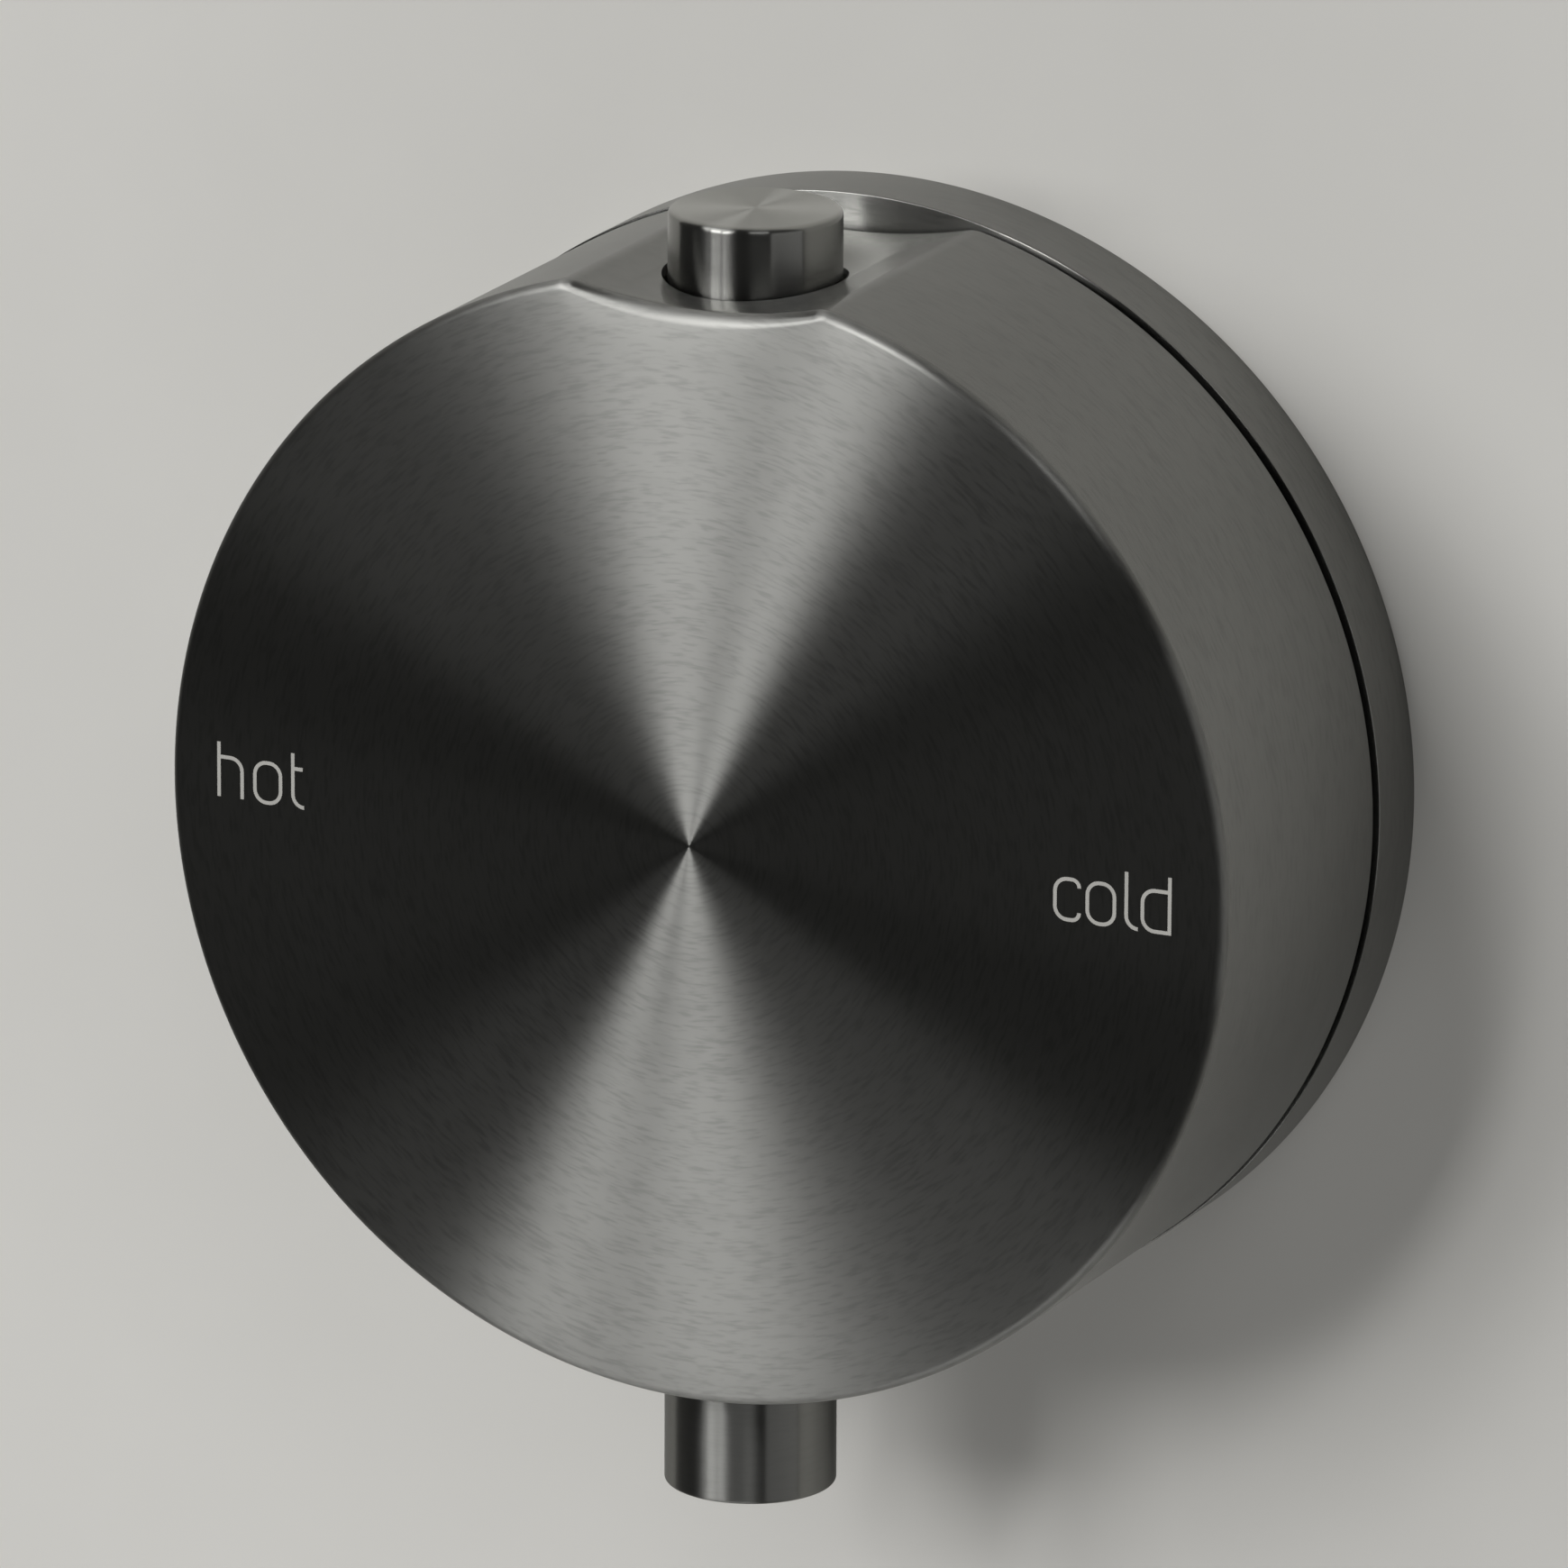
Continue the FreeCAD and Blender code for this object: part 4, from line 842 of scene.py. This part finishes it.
def letter_strokes(letter, sizes):
    """Strokes of a letter from its lower left corner, each with whether it is closed."""
    low, tall, small = 0.0, sizes.tall, sizes.height
    wide, narrow, hook = 3.0 * MM, 2.7 * MM, 1.3 * MM
    bar, bar_end, tip = small - 0.2 * MM, hook - 0.15 * MM, tall - 0.15 * MM
    stub, beside = sizes.bend * 0.62, sizes.stroke * 0.48
    return {
        "h": [([(0, low, 0), (0, tall, 0)], False),
              ([(beside, small, 0), (narrow, small, 1), (narrow, low, 0)], False)],
        "o": [([(0, low, 1), (0, small, 1), (wide, small, 1), (wide, low, 1)], True)],
        "t": [([(0, tip, 0), (0, low, 1), (hook, low, 0)], False),
              ([(beside, bar, 0), (bar_end, bar, 0)], False)],
        "c": [([(narrow, small - stub, 0), (narrow, small, 1), (0, small, 1), (0, low, 1), (narrow, low, 1),
                (narrow, stub, 0)], False)],
        "l": [([(0, tall, 0), (0, low, 1), (hook, low, 0)], False)],
        "d": [([(wide, tall, 0), (wide, low, 0), (0, low, 1), (0, small, 1),
                (wide - beside, small, 0)], False)],
    }[letter]


def word_piece(name, baseline, letters, sizes, dial):
    """Piece of a word, from its letters and the place of each."""
    mesh = bmesh.new()
    layers = [lambda p: face_depth(dial, p.length) - sizes.relief,
              lambda p: face_depth(dial, p.length) + TOUCHING]
    for letter, start in letters:
        for points, closed in letter_strokes(letter, sizes):
            path = bent_stroke([(x + start, z + baseline, bent) for x, z, bent in points], sizes.bend)
            ribbon(mesh, path, sizes.stroke, layers, closed)
    return new_piece(name, mesh_data(name, mesh))


# Operators

class MIXER_OT_dial(bpy.types.Operator):
    """Builds the drum with its scoop, button hole, outlet slot and key hole"""
    bl_idname = "mixer.dial"
    bl_label = "Dial"

    def execute(self, context):
        sizes = context.scene.mixer_dial
        dial = new_piece("dial", dial_mesh(sizes))
        well_radius, well_lap, well_top = BUTTON_HIGH.x + sizes.button_gap, 4 * MM, 5 * MM
        well = peg(well_radius, SPOUT_AXIS + UP * (BUSH_HIGH.z - well_lap),
                   SPOUT_AXIS + UP * (DIAL_HIGH.z + well_top), WELL_SEGMENTS)
        key_way = Vector((math.cos(sizes.key_angle), 0, math.sin(sizes.key_angle)))
        key_y = WALL_AXIS * (GRUB_LOW.y + GRUB_HIGH.y) / 2
        key_from, key_to = 0.85, 1.05
        key = peg(sizes.key_radius, key_y + key_way * sizes.radius * key_from,
                  key_y + key_way * sizes.radius * key_to)
        cut_away(dial, [well, slot_cutter(sizes), key])
        outer_skin = sizes.radius - 0.3 * sizes.wall

        def on_rim(place):
            in_well = place.z > 0 and abs((place - SPOUT_AXIS).xy.length - well_radius) < TOUCHING
            in_key = (place - key_y).cross(key_way).length < sizes.key_radius + TOUCHING
            in_slot = place.z < 0 and abs(place.y - SPOUT_AXIS.y) < sizes.slot_half_width + TOUCHING
            near = outer_skin - (sizes.scoop_depth if in_well else 0)
            return (in_well or in_key or in_slot) and place.xz.length > near

        break_edges(dial, on_rim, sizes.broken_edge)
        boss_wall, boss_below = 3 * MM, 2 * MM
        inner, outer, low = BUSH_HIGH.x, BUSH_HIGH.x + boss_wall, BUSH_LOW.z - boss_below
        outline = [(inner, low), (outer, low), (outer, BUSH_HIGH.z), (inner, BUSH_HIGH.z)]
        joined(dial, turned("boss", outline, UP, SPOUT_AXIS, BOSS_SEGMENTS))
        soften(dial.data, WALL_AXIS)
        seat(dial, "dial", finish_material("spun dial steel"), "spun_steel", "dial_shell")
        return {"FINISHED"}


class MIXER_OT_words(bpy.types.Operator):
    """Paints the two small function words on the face"""
    bl_idname = "mixer.words"
    bl_label = "Words"

    def execute(self, context):
        sizes, dial = context.scene.mixer_words, context.scene.mixer_dial
        warm = [("h", -54.35 * MM), ("o", -50.15 * MM), ("t", -45.7 * MM)]
        cool = [("c", 41.15 * MM), ("o", 44.75 * MM), ("l", 49.06 * MM), ("d", 50.85 * MM)]
        for name, baseline, letters in (("warm_word", -1.75 * MM, warm), ("cool_word", -2.16 * MM, cool)):
            word = word_piece(name, baseline, letters, sizes, dial)
            seat(word, "dial", finish_material("word paint"), "pale_plastic")
        return {"FINISHED"}


class MIXER_OT_button(bpy.types.Operator):
    """Builds the push button's cap"""
    bl_idname = "mixer.button"
    bl_label = "Button"

    def execute(self, context):
        sizes = context.scene.mixer_fixed
        outer, top, low = BUTTON_HIGH.x, BUTTON_HIGH.z, BUTTON_LOW.z
        ceiling, socket = top - sizes.button_crown, top - sizes.button_crown / 2
        stem, skirt = sizes.stem_radius, outer - sizes.button_wall
        sleeve = stem + sizes.button_wall
        outline = rounded([
            (0, top, 0), (outer, top, sizes.button_edge), (outer, low, 0), (skirt, low, 0), (skirt, ceiling, 0),
            (sleeve, ceiling, 0), (sleeve, low, 0), (stem, low, 0), (stem, socket, 0), (0, socket, 0)])
        cap = turned("button", outline, UP, SPOUT_AXIS, sizes.segments)
        seat(cap, "button", finish_material("turned button steel"), "spun_steel", "button_cap")
        return {"FINISHED"}


class MIXER_OT_outlet(bpy.types.Operator):
    """Builds the short outlet that fits up to the drum"""
    bl_idname = "mixer.outlet"
    bl_label = "Outlet"

    def execute(self, context):
        sizes = context.scene.mixer_fixed
        low, outer, mouth = OUTLET_LOW.z, OUTLET_HIGH.x, sizes.mouth_radius
        seat_top, bore = low + sizes.mouth_depth, sizes.outlet_bore
        drum = DIAL_HIGH.x + sizes.outlet_gap
        mouth_edge, blank_top, root = 0.15 * MM, -drum + 3 * MM, -drum - 1 * MM
        outline = rounded([(mouth, low, mouth_edge), (outer, low, sizes.outlet_edge), (outer, blank_top, 0),
                           (bore, blank_top, 0), (bore, seat_top, 0), (mouth, seat_top, 0)])
        outlet = turned("outlet", outline, UP, SPOUT_AXIS, sizes.segments)
        past_front = DIAL_LOW.y * 1.1
        hollow = peg(drum, WALL_AXIS * past_front, WALL_AXIS * DIAL_HIGH.y, HOLLOW_SEGMENTS)
        cut_away(outlet, [hollow])
        neck, thread = sizes.neck_radius, sizes.thread_radius
        outline = [(bore, root), (neck, root), (neck, SHIELD_LOW.z), (thread, SHIELD_LOW.z),
                   (thread, OUTLET_HIGH.z), (bore, OUTLET_HIGH.z)]
        joined(outlet, turned("neck", outline, UP, SPOUT_AXIS, NECK_SEGMENTS))
        soften(outlet.data, UP)
        seat(outlet, "wall", finish_material("turned outlet steel"), "turned_steel", "outlet_tube")
        return {"FINISHED"}


class MIXER_OT_flange(bpy.types.Operator):
    """Builds the wall flange and the glide ring that the drum turns on"""
    bl_idname = "mixer.flange"
    bl_label = "Flange"

    def execute(self, context):
        sizes = context.scene.mixer_fixed
        segments = context.scene.mixer_dial.segments
        hole, rim, front = sizes.flange_hole, FLANGE_HIGH.x, -sizes.flange_depth
        back, inside = front + sizes.flange_skin, rim - sizes.flange_rim
        glide_outer, glide_end, glide_edge = GLIDE_HIGH.x, GLIDE_LOW.y, 0.4 * MM
        glide_inner = glide_outer - sizes.glide_wall
        spigot = glide_inner - sizes.spigot_wall
        middle, half = rim - sizes.flange_rim / 2, sizes.gasket_width / 2
        groove = -sizes.gasket_depth
        outline = rounded([
            (hole, front, 0), (spigot, front, 0), (spigot, glide_end, 0), (glide_inner, glide_end, 0),
            (glide_inner, front, 0), (rim, front, sizes.flange_edge), (rim, 0, 0), (middle + half, 0, 0),
            (middle + half, groove, 0), (middle - half, groove, 0), (middle - half, 0, 0), (inside, 0, 0),
            (inside, back, 0), (hole, back, 0)])
        flange = turned("flange", outline, WALL_AXIS, Vector(), segments)
        seat(flange, "wall", finish_material("turned flange steel"), "turned_steel", "wall_flange")
        ring = rounded([(glide_inner, front, 0), (glide_outer, front, 0), (glide_outer, glide_end, glide_edge),
                        (glide_inner, glide_end, 0)])
        glide = turned("glide_band", ring, WALL_AXIS, Vector(), segments)
        seat(glide, "wall", finish_material("black glide plastic"), "dark_plastic", "glide_ring")
        return {"FINISHED"}


class MIXER_OT_springs(bpy.types.Operator):
    """Builds the two coil springs as fixed coils; in the real mixer they shorten as the button goes in"""
    bl_idname = "mixer.springs"
    bl_label = "Springs"

    def execute(self, context):
        sizes = context.scene.mixer_springs
        bright = finish_material("bright spring steel")
        foot = Vector((0, SPOUT_AXIS.y, BUTTON_SPRING_LOW.z))
        length = BUTTON_SPRING_HIGH.z - BUTTON_SPRING_LOW.z
        spring = coil("button_coil", BUTTON_SPRING_HIGH.x - sizes.button_wire, sizes.button_wire,
                      sizes.button_turns, foot, UP * length)
        seat(spring, "dial", bright, "spring_steel", "button_spring")
        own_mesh(spring)
        foot = WALL_AXIS * VALVE_SPRING_HIGH.y
        length = VALVE_SPRING_HIGH.y - VALVE_SPRING_LOW.y
        spring = coil("valve_coil", VALVE_SPRING_HIGH.x - sizes.valve_wire, sizes.valve_wire,
                      sizes.valve_turns, foot, -WALL_AXIS * length)
        seat(spring, "wall", bright, "spring_steel", "valve_spring")
        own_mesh(spring)
        return {"FINISHED"}


class MIXER_OT_inner_parts(bpy.types.Operator):
    """Gives each inner part the finish of its material"""
    bl_idname = "mixer.inner_parts"
    bl_label = "Inner parts"

    def execute(self, context):
        finishes = {
            "spun_steel": "spun dial steel", "turned_steel": "turned flange steel", "plain_steel": "plain steel",
            "raw_brass": "machined brass", "dark_plastic": "black glide plastic",
            "pale_plastic": "pale moulded plastic", "ceramic": "lapped ceramic", "black_rubber": "seal rubber",
            "spring_steel": "bright spring steel",
        }
        upright = {"button_bush", "outlet_arm"}
        for part in frame["record"]["subparts"]:
            node = frame["nodes"][part["node"]]
            name = "upright brass" if part["node"] in upright else finishes[part["material_slot"]]
            for slot in node.material_slots:
                slot.link = "OBJECT"
                slot.material = finish_material(name)
        return {"FINISHED"}


class MIXER_OT_stage(bpy.types.Operator):
    """Sets up the pale wall and floor, the lamps and the camera"""
    bl_idname = "mixer.stage"
    bl_label = "Stage"

    def execute(self, context):
        finish, studio = context.scene.mixer_finish, context.scene.mixer_studio
        self.pale_surfaces()
        self.lamps(studio)
        self.surroundings(context, finish)
        self.camera(context, studio)
        context.scene.view_settings.view_transform = "Standard"
        return {"FINISHED"}

    def pale_surfaces(self):
        """Wall with a round opening behind the flange, and a floor far below."""
        opening, reach = FLANGE_HIGH.x - 1 * MM, 1.2
        mesh = bmesh.new()
        inner, outer = [], []
        for step in range(WALL_SEGMENTS):
            angle = 2 * math.pi * step / WALL_SEGMENTS
            way = Vector((math.cos(angle), 0, math.sin(angle)))
            inner.append(mesh.verts.new(way * opening))
            outer.append(mesh.verts.new(way * (reach / max(abs(way.x), abs(way.z)))))
        skin(mesh, [inner, outer], capped=False)
        wall = new_piece("wall", mesh_data("wall", mesh, turn_outward=False))
        side, front, rear, low = 3, -0.45, 2.5, -1.6
        floor_mesh = bpy.data.meshes.new("floor")
        floor_mesh.from_pydata([(-side, front, low), (side, front, low), (side, rear, low), (-side, rear, low)],
                               [], [(0, 1, 2, 3)])
        floor = new_piece("floor", floor_mesh)
        for surface in (wall, floor):
            surface.data.materials.append(finish_material("wall paint"))

    def lamps(self, studio):
        """Two tall panels at the upper left, dimmer light round them, a bounce card and a rear panel.

        Each has its direction across and up, its width and height per metre of distance, its glow,
        its turn in degrees, and its distance, which is below 0 behind the wall."""
        far = studio.lamp_distance
        for name, across, up, width, height, glow, turn, distance in (
                ("tall panel", -0.45, 0.27, 0.23, 0.40, 8.6, 8, far),
                ("slim panel", -0.21, 0.30, 0.12, 0.40, 12.5, -25, far),
                ("left panel", -0.63, 0.30, 0.10, 0.48, 2.2, 20, far),
                ("upper panel", -0.42, 0.62, 0.66, 0.40, 2.8, 0, far),
                ("high right panel", 0.40, 0.60, 0.38, 0.26, 2.0, 0, far),
                ("side panel", 0.92, -0.05, 0.80, 0.90, 0.45, 0, far),
                ("bounce card", -0.10, -0.80, 1.00, 0.33, 1.7, 0, 0.6),
                ("rear panel", 0.40, 0.50, 1.30, 1.30, 1.3, 0, -1.6)):
            outward = math.sqrt(1 - across ** 2 - up ** 2)
            place = Vector((across, -outward if distance > 0 else outward, up)) * abs(distance)
            width, height = width * abs(distance), height * abs(distance)
            power = glow * math.pi * width * height * studio.lamp_strength
            self.lamp(name, place, width, height, power, turn)

    def lamp(self, name, place, width, height, power, turn):
        """Rectangular lamp that faces the mixer, turned round its own axis in degrees."""
        data = bpy.data.lights.new(name, "AREA")
        data.shape = "RECTANGLE"
        data.size, data.size_y, data.energy = width, height, power
        lamp = new_piece(name, data)
        lamp.location = place
        aim = (-place).to_track_quat("-Z", "Y").to_matrix()
        lamp.rotation_euler = (aim @ Matrix.Rotation(math.radians(turn), 3, "Z")).to_euler()

    def surroundings(self, context, finish):
        """Dark room round the lamps."""
        world = bpy.data.worlds.new("room")
        world.use_nodes = True
        shader = world.node_tree.nodes["Background"]
        shader.inputs["Color"].default_value = opaque(finish.surroundings)
        shader.inputs["Strength"].default_value = 1.0
        context.scene.world = world

    def camera(self, context, studio):
        """Camera at the photograph's place."""
        data = bpy.data.cameras.new("camera")
        data.lens = studio.lens
        data.sensor_width = 36
        data.shift_x, data.shift_y = studio.shift
        data.clip_end = 100
        camera = new_piece("camera", data)
        level = math.cos(studio.elevation)
        back = Vector((math.sin(studio.azimuth) * level, -math.cos(studio.azimuth) * level,
                       math.sin(studio.elevation)))
        camera.location = studio.place
        aim = (-back).to_track_quat("-Z", "Y").to_matrix()
        camera.rotation_euler = (aim @ Matrix.Rotation(studio.roll, 3, "Z")).to_euler()
        context.scene.camera = camera


class MIXER_PT_panel(bpy.types.Panel):
    """Lists the steps in the sidebar"""
    bl_idname = "MIXER_PT_panel"
    bl_label = "Mixer"
    bl_space_type = "VIEW_3D"
    bl_region_type = "UI"
    bl_category = "Mixer"

    def draw(self, context):
        for step in STEPS:
            self.layout.operator(step.bl_idname)


GROUPS = {"mixer_dial": DialSizes, "mixer_fixed": FixedSizes, "mixer_springs": SpringSizes,
          "mixer_words": WordSizes, "mixer_finish": Finish, "mixer_studio": Studio}
STEPS = (MIXER_OT_dial, MIXER_OT_words, MIXER_OT_button, MIXER_OT_outlet, MIXER_OT_flange, MIXER_OT_springs,
         MIXER_OT_inner_parts, MIXER_OT_stage)


def register():
    for group in (*GROUPS.values(), *STEPS, MIXER_PT_panel):
        bpy.utils.register_class(group)
    for name, group in GROUPS.items():
        setattr(bpy.types.Scene, name, PointerProperty(type=group))


def unregister():
    for name in GROUPS:
        delattr(bpy.types.Scene, name)
    for group in reversed((*GROUPS.values(), *STEPS, MIXER_PT_panel)):
        bpy.utils.unregister_class(group)


def main():
    """Builds the mixer and its stage."""
    register()
    bpy.ops.mixer.dial()
    bpy.ops.mixer.words()
    bpy.ops.mixer.button()
    bpy.ops.mixer.outlet()
    bpy.ops.mixer.flange()
    bpy.ops.mixer.springs()
    bpy.ops.mixer.inner_parts()
    bpy.ops.mixer.stage()


if __name__ == "__main__":
    main()
